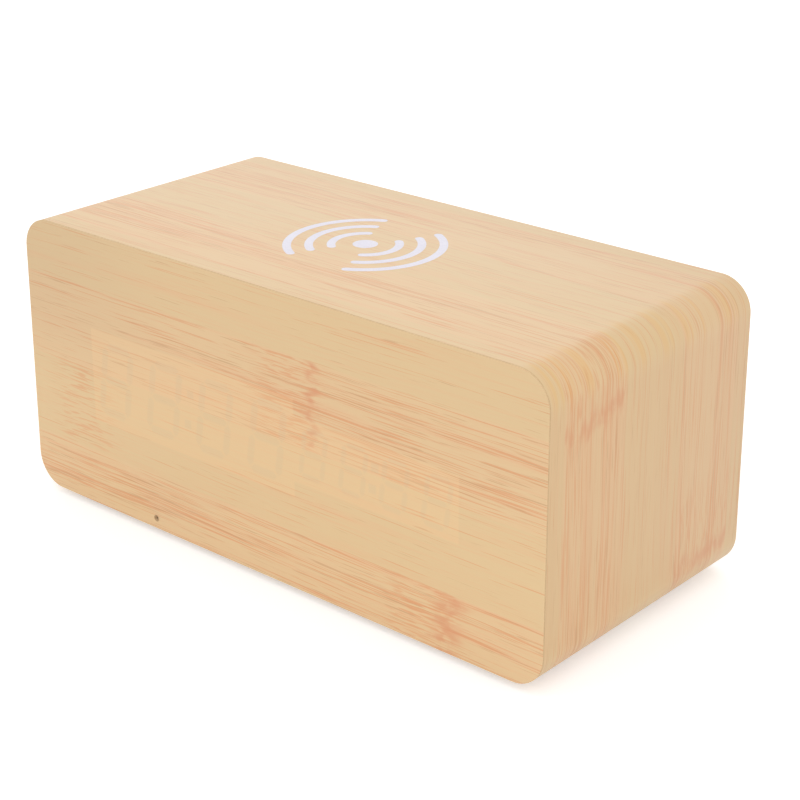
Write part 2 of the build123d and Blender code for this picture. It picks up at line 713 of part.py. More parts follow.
def switch_bodies():
    """Square switch housings with a well that the plunger goes down."""
    bodies = []
    for x in BUTTON_PLACES:
        square = Pos(x, CONTROL_Z) * Rectangle(SWITCH_SIZE, SWITCH_SIZE)
        body = prism_y(square, MAIN_BACK_Y, MAIN_BACK_Y + SWITCH_BODY)
        depth = PLUNGER_ROOT + BUTTON_TRAVEL + PLUNGER_GAP
        top = MAIN_BACK_Y + SWITCH_BODY
        bodies.append(body - small_y(x, CONTROL_Z, PLUNGER + 2 * PLUNGER_GAP, top - depth, top))
    return bodies


def main_board():
    sheet = Rectangle(MAIN_WIDTH, MAIN_HEIGHT)
    for x, z in corners(MAIN_BOSS_X, MAIN_BOSS_Z):
        sheet -= Pos(x, z) * RegularPolygon(SMALL_SHANK / 2 + SCREW_GAP, SMALL_SIDES)
    return prism_y(Pos(0, CONTROL_Z) * sheet, MAIN_FRONT_Y, MAIN_BACK_Y)


def board_screws():
    screw = pan_screw(PCB + SMALL_BITE)
    return [facing_front(x, MAIN_FRONT_Y, z) * screw for x, z in main_boss_places()]


def buzzer():
    """Round sounder that faces the holes of the control panel."""
    top = MAIN_BACK_Y + BUZZER_HEIGHT
    body = small_y(BUZZER_X, CONTROL_Z, BUZZER_DIAMETER, MAIN_BACK_Y, top, LARGE_SIDES)
    return body - small_y(BUZZER_X, CONTROL_Z, SOUND_HOLE, top - SOUND_HOLE, top)


def usb_slot(inset):
    slot = SlotOverall(USB_WIDTH - 2 * inset, USB_HEIGHT - 2 * inset)
    return Pos(USB_X, CONTROL_Z) * slot


def usb_port():
    """Steel shroud of the power inlet, standing up from the board."""
    ring = usb_slot(0) - usb_slot(USB_WALL)
    return prism_y(ring, MAIN_BACK_Y, CONTROL_FACE_Y)


def usb_tongue():
    """Plastic core of the inlet with the tongue that carries the contacts."""
    base = CONTROL_FACE_Y - USB_DEPTH
    body = prism_y(usb_slot(USB_WALL), MAIN_BACK_Y, base)
    tongue = Pos(USB_X, CONTROL_Z) * Rectangle(USB_TONGUE_WIDTH, USB_TONGUE_HEIGHT)
    return body + prism_y(tongue, base, base + USB_TONGUE_LENGTH)


def coin_holder():
    """Cup on the front of the main board that keeps the clock's reserve cell."""
    outer = COIN_DIAMETER + 2 * COIN_GAP + 2 * COIN_WALL
    floor = MAIN_FRONT_Y - COIN_WALL
    mouth = floor - COIN_HEIGHT
    body = small_y(COIN_X, CONTROL_Z, outer, mouth, MAIN_FRONT_Y, LARGE_SIDES)
    body -= small_y(COIN_X, CONTROL_Z, COIN_DIAMETER + 2 * COIN_GAP, mouth, floor, LARGE_SIDES)
    notch = (CONTROL_Z + COIN_DIAMETER / 4, CONTROL_Z + outer)
    side = (COIN_X - COIN_DIAMETER / 4, COIN_X + COIN_DIAMETER / 4)
    return body - block(side, (mouth, floor), notch)


def coin_cell():
    floor = MAIN_FRONT_Y - COIN_WALL
    return small_y(COIN_X, CONTROL_Z, COIN_DIAMETER, floor - COIN_HEIGHT, floor, LARGE_SIDES)


def temperature_sensor():
    """Bead that stands on the upper edge of the main board."""
    z = CONTROL_Z + MAIN_HEIGHT / 2
    x = -MAIN_WIDTH / 4
    return small_z(x, MAIN_BACK_Y - PCB / 2, SENSOR_DIAMETER, z, z + SENSOR_LENGTH)


# Wireless charger

def coil_edge(offset):
    """Points along one edge of the strip, from the inner end outwards."""
    points = []
    for n in range(COIL_TURNS * COIL_RUNS + 1):
        turns = n / COIL_RUNS
        radius = COIL_INNER + COIL_STRIP / 2 + turns * COIL_PITCH + offset
        angle = 2 * math.pi * turns
        points.append((radius * math.cos(angle), radius * math.sin(angle)))
    return points


def charging_coil():
    """Flat strip wound from the middle outwards, one unbroken piece."""
    outline = coil_edge(COIL_STRIP / 2) + coil_edge(-COIL_STRIP / 2)[::-1]
    low = CAVITY_TOP + FERRITE
    return prism_z(Polygon(outline, align=None), low, low + COIL_HEIGHT)


def coil_gap():
    """Least gap between neighbouring turns, measured between points on both edges."""
    outer = coil_edge(COIL_STRIP / 2)
    inner = coil_edge(-COIL_STRIP / 2)
    later = range(COIL_RUNS // 2, len(inner))
    return min(math.dist(outer[n], inner[m]) for n in range(len(outer)) for m in later if m > n + 6)


def lead_places():
    """Below the two ends of the coil, which both lie on the X axis."""
    inner = COIL_INNER + COIL_STRIP / 2
    return [(inner, 0), (inner + COIL_TURNS * COIL_PITCH, 0)]


def coil_leads():
    """The two tails of the coil, straight down through ferrite and carrier to the board."""
    lead = Rectangle(LEAD_SIZE, LEAD_SIZE)
    top = CAVITY_TOP + FERRITE
    return [prism_z(Pos(x, y) * lead, CHARGER_TOP, top) for x, y in lead_places()]


def ferrite_plate():
    sheet = RectangleRounded(FERRITE_SIZE, FERRITE_SIZE, FERRITE_RADIUS)
    for x, y in lead_places():
        sheet -= Pos(x, y) * RegularPolygon(LEAD_HOLE / 2, SMALL_SIDES)
    return prism_z(sheet, CAVITY_TOP, CAVITY_TOP + FERRITE)


def charger_boss_places():
    x = CHARGER_WIDTH / 2 - CHARGER_BOSS_INSET
    y = CHARGER_DEPTH / 2 - CHARGER_BOSS_INSET
    return [(-x, y), (x, y), (0, -y)]


def coil_carrier():
    """Plate that holds coil and ferrite up in the pocket of the top wall."""
    length = 2 * CARRIER_SCREW_X + 2 * CARRIER_MARGIN
    width = 2 * CARRIER_SCREW_Y + 2 * CARRIER_MARGIN
    sheet = RectangleRounded(length, width, CARRIER_MARGIN)
    for x, y in lead_places():
        sheet -= Pos(x, y) * RegularPolygon(LEAD_HOLE / 2, SMALL_SIDES)
    for x, y in corners(CARRIER_SCREW_X, CARRIER_SCREW_Y):
        sheet -= Pos(x, y) * RegularPolygon(SMALL_SHANK / 2 + SCREW_GAP, SMALL_SIDES)
    body = prism_z(sheet, CARRIER_LOW, CAVITY_TOP)
    hole = SMALL_SHANK + 2 * SCREW_GAP
    for x, y in charger_boss_places():
        body += small_z(x, y, BOSS, CHARGER_TOP, CARRIER_LOW)
        body -= small_z(x, y, hole, CHARGER_TOP, CHARGER_TOP + SMALL_BITE + SCREW_GAP)
    return body


def carrier_screws():
    screw = pan_screw(CARRIER + SMALL_BITE)
    places = corners(CARRIER_SCREW_X, CARRIER_SCREW_Y)
    return [facing_down(x, y, CARRIER_LOW) * screw for x, y in places]


def charger_board():
    sheet = Rectangle(CHARGER_WIDTH, CHARGER_DEPTH)
    for x, y in charger_boss_places():
        sheet -= Pos(x, y) * RegularPolygon(SMALL_SHANK / 2 + SCREW_GAP, SMALL_SIDES)
    return prism_z(sheet, CHARGER_LOW, CHARGER_TOP)


def charger_screws():
    screw = pan_screw(PCB + SMALL_BITE)
    return [facing_down(x, y, CHARGER_LOW) * screw for x, y in charger_boss_places()]


def charger_part(x, y, length, width, height):
    """Plain block on the underside of the charger board."""
    return prism_z(Pos(x, y) * Rectangle(length, width), CHARGER_LOW - height, CHARGER_LOW)


def charger_chip():
    return charger_part(0, -CHARGER_DEPTH / 6, DRIVER_SIZE, DRIVER_SIZE, DRIVER_HEIGHT)


def charger_inductor():
    x = CHARGER_WIDTH / 5
    return charger_part(x, -CHARGER_DEPTH / 6, INDUCTOR_SIZE, INDUCTOR_SIZE, INDUCTOR_HEIGHT)


def charger_capacitors():
    first = CHARGER_WIDTH / 8
    step = CAPACITOR_LENGTH + CAPACITOR_SPACE
    y = CHARGER_DEPTH / 8
    return [
        charger_part(first + n * step, y, CAPACITOR_LENGTH, CAPACITOR_WIDTH, CAPACITOR_HEIGHT)
        for n in range(CAPACITORS)
    ]


# Battery tray

def cell_rows():
    return [(n - (CELLS - 1) / 2) * CELL_PITCH for n in range(CELLS)]


def latch_slot():
    """Notch in the mouth that the nib of the door swings out of."""
    edge = MOUTH_LENGTH / 2
    half = NIB_WIDTH / 2 + DOOR_GAP
    reach = NIB_REACH + DOOR_GAP
    return block((edge - DOOR_GAP, edge + reach), (-half, half), (CASE_BOTTOM, MOUTH_TOP))


def battery_tray():
    """Tray with a cradle for each cell, a seat for the door and sockets for its pegs."""
    body = prism_z(Rectangle(TRAY_LENGTH, TRAY_WIDTH), CASE_BOTTOM, TRAY_TOP)
    body += prism_z(tray_outline(0), CASE_BOTTOM, CASE_BOTTOM + TRAY_FLANGE)
    body -= prism_z(Rectangle(BAY_LENGTH, BAY_WIDTH), CASE_BOTTOM, CELL_Z)
    cradle = CELL_DIAMETER / 2 + CELL_GAP
    for y in cell_rows():
        body -= Pos(0, y, CELL_Z) * Rot(0, 90, 0) * Cylinder(cradle, BAY_LENGTH)
    for side in (-1, 1):
        end = side * BAY_LENGTH / 2
        x = sorted((end, end - side * (CONTACT + CONTACT_GAP)))
        body -= block(x, (-BAY_WIDTH / 2, BAY_WIDTH / 2), (CELL_Z, CELL_Z + CONTACT_SIZE / 2 + CONTACT_GAP))
    body -= prism_z(Rectangle(MOUTH_LENGTH, MOUTH_WIDTH), CASE_BOTTOM, MOUTH_TOP)
    body -= latch_slot()
    socket = PEG_DIAMETER / 2 + PEG_GAP
    span = MOUTH_WIDTH - 2 * DOOR_GAP + 2 * PEG_LENGTH + 2 * PEG_GAP
    body -= Pos(DOOR_AXIS_X, 0, DOOR_AXIS_Z) * Rot(90, 0, 0) * Cylinder(socket, span)
    for x, y in tray_screw_places():
        body -= facing_down(x, y, CASE_BOTTOM) * wood_hole(TRAY_SCREW_LENGTH)
    return body


def battery_door():
    """Door on two pegs, with a springy tongue and a grip at the other end."""
    width = MOUTH_WIDTH - 2 * DOOR_GAP
    half = width / 2
    end = MOUTH_LENGTH / 2 - DOOR_GAP
    top = CASE_BOTTOM + DOOR
    body = block((DOOR_AXIS_X, end), (-half, half), (CASE_BOTTOM, top))
    axle = Pos(DOOR_AXIS_X, 0, DOOR_AXIS_Z) * Rot(90, 0, 0)
    body += axle * Cylinder(DOOR / 2, width)
    body += axle * Cylinder(PEG_DIAMETER / 2, width + 2 * PEG_LENGTH)
    for side in (-1, 1):
        middle = side * (LATCH_WIDTH + LATCH_SLIT) / 2
        slit = (middle - LATCH_SLIT / 2, middle + LATCH_SLIT / 2)
        body -= block((end - LATCH_LENGTH, end), slit, (CASE_BOTTOM, top))
    nib = NIB_WIDTH / 2
    body += block((end, end + NIB_REACH), (-nib, nib), (top - NIB_HEIGHT, top))
    for step in (0.2, 0.4, 0.6):
        x = end - step * LATCH_LENGTH
        groove = (x - LATCH_SLIT / 2, x + LATCH_SLIT / 2)
        body -= block(groove, (-nib, nib), (CASE_BOTTOM, CASE_BOTTOM + GRIP_DEPTH))
    return body


def tray_screws():
    screw = wood_screw(TRAY_SCREW_LENGTH)
    return [facing_down(x, y, CASE_BOTTOM) * screw for x, y in tray_screw_places()]


def battery_contacts():
    """Plates at both ends; the wide ones join two cells in series."""
    half = CONTACT_SIZE / 2
    rows = cell_rows()
    z = (CELL_Z - half, CELL_Z + half)
    plates = []
    for side, first, last in ((-1, 0, 1), (-1, 2, 2), (1, 0, 0), (1, 1, 2)):
        wall = side * BAY_LENGTH / 2
        x = sorted((wall, wall - side * CONTACT))
        plates.append(block(x, (rows[first] - half, rows[last] + half), z))
    return plates


def wire_section(share):
    """Points round the wire of a conical spring, a share of the way along it."""
    turn = 2 * math.pi * SPRING_TURNS * share
    middle = (SPRING_BASE + share * (SPRING_TIP - SPRING_BASE)) / 2
    foot = SPRING_WIRE / 2 + SPRING_GAP
    rise = foot + share * (SPRING_LENGTH - SPRING_WIRE)
    points = []
    for out, up in ring_places(SPRING_SIDES, SPRING_WIRE / 2):
        radius = middle + out
        points.append(Vector(radius * math.cos(turn), radius * math.sin(turn), rise + up))
    return points


def conical_spring():
    """One wound wire, in short straight runs with flat facets."""
    runs = round(SPRING_TURNS * SPRING_RUNS)
    sections = [wire_section(n / runs) for n in range(runs + 1)]
    sheets = [sections[0], sections[-1]]
    for here, there in zip(sections, sections[1:]):
        for n in range(SPRING_SIDES):
            m = (n + 1) % SPRING_SIDES
            sheets.append([here[n], here[m], there[m]])
            sheets.append([here[n], there[m], there[n]])
    return Solid(Shell([Face(Wire.make_polygon(points)) for points in sheets]))


def battery_springs():
    """Conical springs on the plates where the flat ends of the cells go."""
    spring = conical_spring()
    springs = []
    for row, y in enumerate(cell_rows()):
        side = -1 if row % 2 else 1
        x = side * (BAY_LENGTH / 2 - CONTACT)
        springs.append(Pos(x, y, CELL_Z) * Rot(0, -90 * side, 0) * spring)
    return springs


# Ribbons and sockets

def socket(y_low, y_high, z):
    half = DISPLAY_RIBBON_WIDTH / 2 + SOCKET_WALL
    x = (DISPLAY_RIBBON_X - half, DISPLAY_RIBBON_X + half)
    return block(x, (y_low, y_high), (z - SOCKET_TALL / 2, z + SOCKET_TALL / 2))


def display_socket():
    return socket(DISPLAY_BOARD_Y, DISPLAY_BOARD_Y + SOCKET_HEIGHT, DISPLAY_Z)


def main_socket():
    return socket(MAIN_FRONT_Y - SOCKET_HEIGHT, MAIN_FRONT_Y, CONTROL_Z)


def display_ribbon():
    """Flat cable from the display board back to the main board, with a slack loop."""
    start = DISPLAY_BOARD_Y + SOCKET_HEIGHT
    end = MAIN_FRONT_Y - SOCKET_HEIGHT
    third = (end - start) / 3
    low = TRAY_TOP + 2 * RIBBON_BEND
    points = [
        (start, DISPLAY_Z),
        (start + third, DISPLAY_Z),
        (start + third, low),
        (end - third, low),
        (end - third, CONTROL_Z),
        (end, CONTROL_Z),
    ]
    return ribbon(DISPLAY_RIBBON_X, DISPLAY_RIBBON_WIDTH, points)


def battery_ribbon():
    """Two-way lead from the top of the battery tray up to the main board."""
    y = TRAY_WIDTH / 4
    z = CONTROL_Z - MAIN_HEIGHT / 4
    points = [(y, TRAY_TOP), (y, z), (MAIN_FRONT_Y, z)]
    return ribbon(BATTERY_RIBBON_X, POWER_RIBBON_WIDTH, points)


def charger_ribbon():
    """Two-way lead from the main board up to the charger board."""
    y = CHARGER_DEPTH / 4
    z = CONTROL_Z + MAIN_HEIGHT / 4
    points = [(y, CHARGER_LOW), (y, z), (MAIN_FRONT_Y, z)]
    return ribbon(CHARGER_RIBBON_X, POWER_RIBBON_WIDTH, points)


PIECES = {
    "case_shell": case_shell,
    "wrap_film": wrap_film,
    "front_film": front_film,
    "front_board": front_board,
    "back_panel": back_panel,
    "back_film": back_film,
    "back_screws": back_screws,
    "feet": feet,
    "light_guide": light_guide,
    "display_board": display_board,
    "display_screws": display_screws,
    "segment_leds": segment_leds,
    "clock_chip": clock_chip,
    "crystal": crystal,
    "microphone": microphone,
    "microphone_leads": microphone_leads,
    "control_panel": control_panel,
    "panel_screws": panel_screws,
    "button_set": lambda: button(SET_X),
    "button_up": lambda: button(UP_X),
    "button_down": lambda: button(DOWN_X),
    "plunger_set": lambda: plunger(SET_X),
    "plunger_up": lambda: plunger(UP_X),
    "plunger_down": lambda: plunger(DOWN_X),
    "switch_bodies": switch_bodies,
    "main_board": main_board,
    "board_screws": board_screws,
    "buzzer": buzzer,
    "usb_port": usb_port,
    "usb_tongue": usb_tongue,
    "coin_holder": coin_holder,
    "coin_cell": coin_cell,
    "temperature_sensor": temperature_sensor,
    "charging_coil": charging_coil,
    "coil_leads": coil_leads,
    "ferrite_plate": ferrite_plate,
    "coil_carrier": coil_carrier,
    "carrier_screws": carrier_screws,
    "charger_board": charger_board,
    "charger_screws": charger_screws,
    "charger_chip": charger_chip,
    "charger_inductor": charger_inductor,
    "charger_capacitors": charger_capacitors,
    "battery_tray": battery_tray,
    "battery_door": battery_door,
    "tray_screws": tray_screws,
    "battery_contacts": battery_contacts,
    "battery_springs": battery_springs,
    "display_socket": display_socket,
    "main_socket": main_socket,
    "display_ribbon": display_ribbon,
    "battery_ribbon": battery_ribbon,
    "charger_ribbon": charger_ribbon,
}


def main():
    """Write every piece as its own STEP file; groups of like pieces share one file."""
    os.makedirs("parts", exist_ok=True)
    for node, make in PIECES.items():
        shape = make()
        if isinstance(shape, list):
            shape = Compound(children=shape)
        export_step(shape, f"parts/{node}.step")
    print(f"least gap between turns of the charging coil: {coil_gap():.2f} mm")


main()
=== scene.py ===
import json
import math
from typing import NamedTuple

import bmesh
import bpy
from mathutils import Matrix, Vector
from mathutils.geometry import delaunay_2d_cdt


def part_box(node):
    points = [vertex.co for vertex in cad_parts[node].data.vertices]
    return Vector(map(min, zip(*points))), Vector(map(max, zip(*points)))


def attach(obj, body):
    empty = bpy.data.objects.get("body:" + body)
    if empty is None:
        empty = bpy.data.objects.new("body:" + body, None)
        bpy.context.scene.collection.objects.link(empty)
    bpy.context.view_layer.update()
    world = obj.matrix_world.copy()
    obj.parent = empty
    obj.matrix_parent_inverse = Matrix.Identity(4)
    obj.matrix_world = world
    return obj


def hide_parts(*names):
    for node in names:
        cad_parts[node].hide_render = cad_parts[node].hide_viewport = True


# Looks of the wooden desk clock: bamboo-look films, printed mark, controls at the back.
# Metres, in the frame of the CAD model: X right seen from the front, front at -Y, Z up.

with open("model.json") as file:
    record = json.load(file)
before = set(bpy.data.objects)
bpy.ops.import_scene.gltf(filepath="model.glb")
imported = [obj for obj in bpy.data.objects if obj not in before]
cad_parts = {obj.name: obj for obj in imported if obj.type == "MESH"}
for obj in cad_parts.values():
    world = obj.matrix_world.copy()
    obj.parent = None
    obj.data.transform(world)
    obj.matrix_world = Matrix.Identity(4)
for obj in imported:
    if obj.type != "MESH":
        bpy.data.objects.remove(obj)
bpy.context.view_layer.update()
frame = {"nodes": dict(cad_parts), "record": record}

# Case, read from the frame
wrap_low, wrap_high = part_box("wrap_film")
front_low, front_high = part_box("front_film")
LEFT, RIGHT = wrap_low.x, wrap_high.x
BOTTOM, TOP = wrap_low.z, wrap_high.z
FRONT, SEAM, BACK = front_low.y, front_high.y, wrap_high.y
MIDDLE = (BOTTOM + TOP) / 2
HALF_WIDTH = (RIGHT - LEFT) / 2
HALF_HEIGHT = (TOP - BOTTOM) / 2
DEPTH = BACK - FRONT
CORNER = 0.0075
CORNER_STEPS = 14
FILM = SEAM - FRONT
GROOVE = 0.00004
RIM = 0.0036
PANEL_GAP = 0.00015
REBATE_RADIUS = 0.003
REAR_FOLD = 0.0005
FOLD_EASE = 0.3 * REAR_FOLD
PRINT = 0.00002

# Places of the materials in the list of a film, the last one dark brown as painted shade inside the
# pinhole
PRINTED, CUT, SEAMED, HOLE_SHADE = range(4)

# Tray cut-out in the bottom
tray_low, tray_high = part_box("battery_tray")
TRAY_GAP = 0.0002
TRAY_RADIUS = 0.00275
TRAY_STEPS = 6

# Display that shows through the front film
DIGITS = 4
DISPLAY_Z = MIDDLE - 0.0005
DISPLAY_SIDE = 0.0212
LARGE_SHARE = 0.587
DIGIT_FILL = 0.655
LARGE = {"height": 0.018, "stroke": 0.0019, "window": 0.0225}
SMALL = {"height": 0.012, "stroke": 0.0013, "window": 0.015}
SLANT = math.radians(8)
SEGMENT_GAP = 0.0007
COLON_SIZE = 0.002
COLON_SPREAD = 0.45
GHOST_SOFT = 0.00025

# Microphone hole in the front
MIC_X = -0.0345
MIC_RISE = 0.0025
MIC_HOLE = 0.0016
MIC_EASE = 0.00058
MIC_EASE_DEPTH = MIC_EASE / 3
MIC_STEPS = 24

# Mark on the top: a dot and three pairs of arcs, each with its radius and half its spread in degrees
MARK_X = -0.0017
MARK_DOT = 0.0028
MARK_STROKE = 0.0019
MARK_ARCS = ((0.0075, 53.5), (0.0124, 58.5), (0.0172, 62.0))

# Controls at the back
CONTROL_WIDTH = 0.072
CONTROL_HEIGHT = 0.022
CONTROL_RADIUS = 0.003
CONTROL_RECESS = 0.0015
CONTROL_WALL = 0.0018
CONTROL_EDGE = 0.0002
BUTTON_DIAMETER = 0.008
BUTTON_GAP = 0.0002
BUTTON_STEM = 0.002
BUTTON_COLLAR = 0.001
BUTTON_EASE = 0.0006
BUTTON_DISH = 0.00035
USB_GAP = 0.00025
SOUND_HOLE = 0.0014
SOUND_RING = 0.0032
SOUND_HOLES_ROUND = 6

# Raised signs on the buttons, with their foot and face below the button's rim
SIGN_FOOT, SIGN_FACE = 0.0006, 0.00014
SIGN_DOT = 0.0009
ARROW_HALF_WIDTH = 0.0013
ARROW_BASE, ARROW_TIP = 0.0009, 0.0013

# Countersunk screws
SCREW_HEAD = 0.005
SCREW_GAP = 0.0001
SCREW_SHANK = 0.0013
SCREW_LENGTH = 0.0050
SCREW_CONE = 0.0018
SCREW_RIM = 0.00025
SCREW_EASE = 0.0001
SCREW_FACE_SHARE = 0.97
CROSS_LENGTH, CROSS_WIDTH, CROSS_HEIGHT = 0.0028, 0.0006, 0.0018
CROSS_TURN = 0.5

# Feet
FOOT_RADIUS = 0.0045
FOOT_EASE = 0.0006
FOOT_DISH = 0.00015
FOOT_DISH_SHARE = 0.6

# Light: lamps as (name, place, size, watts)
SURROUND = 0.885
FLOOR_SIZE = 6.0
FLOOR_SHADE = 0.86
FLOOR_GLOW = 0.42
LAMPS = (
    ("front_lamp", (0.25, -0.55, 0.25), 0.4, 0.53),
    ("back_lamp", (-0.85, 0.95, 0.55), 0.9, 1.2),
)

# Camera of the photograph
EYE = Vector((0.27315, -0.30570, 0.20462))
ELEVATION = math.radians(20.297)
AZIMUTH = math.radians(40.902)
LENS = 89.192
SENSOR = 36
RISE = -0.1125
NEAREST = 0.01


# Small helpers for meshes

def rounded(half_x, half_z, radius, steps=CORNER_STEPS, middle=(0.0, 0.0)):
    """Points of a rounded rectangle, from the lower left corner on, clockwise."""
    points = []
    for turn, sx, sz in ((270, -1, -1), (180, -1, 1), (90, 1, 1), (0, 1, -1)):
        for n in range(steps + 1):
            angle = math.radians(turn - 90 * n / steps)
            x = sx * (half_x - radius) + radius * math.cos(angle)
            z = sz * (half_z - radius) + radius * math.sin(angle)
            points.append((middle[0] + x, middle[1] + z))
    return points


def case_outline(inset):
    """Outline of the case seen from the front, in X and Z."""
    return rounded(HALF_WIDTH - inset, HALF_HEIGHT - inset, CORNER - inset, middle=(0, MIDDLE))


def circle(x, z, radius, steps=32):
    turns = [2 * math.pi * n / steps for n in range(steps)]
    return [(x + radius * math.cos(t), z + radius * math.sin(t)) for t in turns]


def inside(point, loop):
    """True if a point in X and Z lies inside a closed loop."""
    found = False
    px, pz = point
    for (ax, az), (bx, bz) in zip(loop, loop[1:] + loop[:1]):
        if (az > pz) != (bz > pz) and px < (bx - ax) * (pz - az) / (bz - az) + ax:
            found = not found
    return found


def sheet(loops, holes):
    """Flat triangles inside the first loop and outside the holes, cut along every loop."""
    points, edges = [], []
    for loop in loops + holes:
        first = len(points)
        points += [Vector(p) for p in loop]
        count = len(loop)
        edges += [(first + n, first + (n + 1) % count) for n in range(count)]
    found = delaunay_2d_cdt(points, edges, [], 0, 1e-7)
    flat, faces = [tuple(p) for p in found[0]], found[2]
    kept = []
    for face in faces:
        middle = [sum(flat[n][axis] for n in face) / len(face) for axis in (0, 1)]
        if inside(middle, loops[0]) and not any(inside(middle, hole) for hole in holes):
            kept.append(face)
    return flat, kept


def band(bm, lower, upper, closed=True):
    """Faces between two rows of as many vertices."""
    count = len(lower)
    made = []
    for n in range(count if closed else count - 1):
        m = (n + 1) % count
        made.append(bm.faces.new((lower[n], lower[m], upper[m], upper[n])))
    return made


def walls(bm, rows, materials):
    """Bands between rows that follow each other, each with its place in the list of materials."""
    for low, high, material in zip(rows, rows[1:], materials):
        for face in band(bm, low, high):
            face.material_index = material


def revolve(bm, profile, steps=40):
    """A turned shape round Z from (radius, height) pairs, closed at both ends."""
    rows = []
    for radius, height in profile:
        points = circle(0, 0, radius, steps)
        rows.append([bm.verts.new((x, y, height)) for x, y in points])
    faces = []
    for low, high in zip(rows, rows[1:]):
        faces += band(bm, low, high)
    faces.append(bm.faces.new(rows[0][::-1]))
    faces.append(bm.faces.new(rows[-1]))
    return faces


def make_object(bm, name, materials, sharp=32):
    """Mesh object with smooth faces, and sharp edges where faces meet at more than an angle."""
    bmesh.ops.remove_doubles(bm, verts=bm.verts, dist=1e-7)
    bmesh.ops.recalc_face_normals(bm, faces=bm.faces)
    for face in bm.faces:
        face.smooth = True
    for edge in bm.edges:
        if len(edge.link_faces) == 2:
            edge.smooth = edge.calc_face_angle(0) < math.radians(sharp)
    mesh = bpy.data.meshes.new(name)
    bm.to_mesh(mesh)
    bm.free()
    made = bpy.data.objects.new(name, mesh)
    bpy.context.scene.collection.objects.link(made)
    for material in materials:
        mesh.materials.append(material)
    return made


def stand_for(piece, body, slot, *replaced):
    """The piece rides on a body and hides the nodes it stands for."""
    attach(piece, body)
    if replaced:
        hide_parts(*replaced)


# Small helpers for materials

def colour(red, green, blue):
    """Linear colour with full alpha from screen values of 0 to 255."""
    linear = []
    for value in (red, green, blue):
        share = value / 255
        linear.append(share / 12.92 if share <= 0.04045 else ((share + 0.055) / 1.055) ** 2.4)
    return (*linear, 1.0)


class Graph:
    """Node tree of one material, with short calls for the nodes used here."""

    def __init__(self, name):
        self.material = bpy.data.materials.new(name)
        self.material.use_nodes = True
        self.tree = self.material.node_tree
        self.shader = self.tree.nodes["Principled BSDF"]

    def node(self, kind, **settings):
        made = self.tree.nodes.new(kind)
        for name, value in settings.items():
            setattr(made, name, value)
        return made

    def feed(self, socket, value):
        """Link another socket, or set a plain value."""
        if isinstance(value, bpy.types.NodeSocket):
            self.tree.links.new(value, socket)
        else:
            socket.default_value = value

    def math(self, operation, first, second=0.0):
        made = self.node("ShaderNodeMath", operation=operation)
        self.feed(made.inputs[0], first)
        self.feed(made.inputs[1], second)
        return made.outputs[0]

    def plus(self, first, second):
        return self.math("ADD", first, second)

    def minus(self, first, second):
        return self.math("SUBTRACT", first, second)

    def times(self, first, second):
        return self.math("MULTIPLY", first, second)

    def rise(self, value, low, high, top=1.0):
        """Smooth step from 0 at low to top at high."""
        made = self.node("ShaderNodeMapRange", interpolation_type="SMOOTHSTEP")
        for socket, number in zip(made.inputs, (value, low, high, 0.0, top)):
            self.feed(socket, number)
        return made.outputs[0]

    def between(self, value, low, high, soft):
        """1 from low to high, with soft ends."""
        up = self.rise(value, low - soft, low + soft)
        return self.times(up, self.rise(value, high + soft, high - soft))

    def vector(self, x, y, z):
        made = self.node("ShaderNodeCombineXYZ")
        for socket, value in zip(made.inputs, (x, y, z)):
            self.feed(socket, value)
        return made.outputs[0]

    def noise(self, vector, scale=1.0, detail=2.0, roughness=0.5):
        made = self.node("ShaderNodeTexNoise")
        self.feed(made.inputs["Vector"], vector)
        made.inputs["Scale"].default_value = scale
        made.inputs["Detail"].default_value = detail
        made.inputs["Roughness"].default_value = roughness
        return made.outputs["Fac"]

    def mix(self, share, first, second):
        made = self.node("ShaderNodeMix", data_type="RGBA")
        self.feed(made.inputs[0], share)
        self.feed(made.inputs[6], first)
        self.feed(made.inputs[7], second)
        return made.outputs[2]

    def attribute(self, name):
        return self.node("ShaderNodeAttribute", attribute_name=name)

    def bump(self, height, distance, strength=1.0):
        made = self.node("ShaderNodeBump")
        made.inputs["Strength"].default_value = strength
        made.inputs["Distance"].default_value = distance
        self.feed(made.inputs["Height"], height)
        self.feed(self.shader.inputs["Normal"], made.outputs[0])


# Bamboo-look film

STRIP = 0.020
STRIP_SOFT = 0.00025
PALE = colour(229, 198, 150)
PINKISH = colour(232, 198, 151)
SOFT_PINK = colour(235, 182, 138)
LINE_RED = colour(225, 154, 104)
LINE_BROWN = colour(204, 154, 108)
KNOT_RED = colour(222, 152, 110)
# Painted light on the rounded right edge and painted shade on the right side, each laid partly in streaks
# of grain
EDGE_LIGHT_AND_STREAK_YELLOW = colour(236, 182, 98)
SIDE_SHADE_AND_STREAK_PINK = colour(212, 148, 96)
# Painted shade for the upper left end of the front
PAINTED_SHADE_BROWN = colour(120, 90, 80)
WINDOW_GLOW = colour(248, 206, 153)
SEGMENT_GREY = colour(196, 184, 156)


class Lines(NamedTuple):
    """One kind of line: cells per metre along and across the grain, offset of its noise, how far dense
    grain lifts it, its range from no line to a full one, and the strength and colour of that line."""

    along: float
    across: float
    offset: float
    lift: float
    low: float
    high: float
    strength: float
    tint: tuple


LINE_KINDS = {
    "broad": Lines(15, 300, 1.3, 0.12, 0.52, 0.82, 0.30, SOFT_PINK),
    "medium": Lines(24, 1000, 6.1, 0.12, 0.60, 0.78, 0.24, SOFT_PINK),
    "long": Lines(38, 3400, 7.7, 0.12, 0.64, 0.71, 0.70, LINE_RED),
    "short": Lines(75, 3400, 3.6, 0.11, 0.675, 0.75, 0.58, LINE_BROWN),
}

# Slow sway of the grain
SWAY = 0.002

# Knots: how far they wander along the grain, and what lies before and after them
KNOT_WANDER = 0.010
KNOT_SOFT = 0.0004
KNOT_FADE = 0.9
DASHES_FROM, DASHES_TO, DASHES_SOFT = -0.016, 0.002, 0.005
LINES_FROM, LINES_TO = 0.0, 0.006
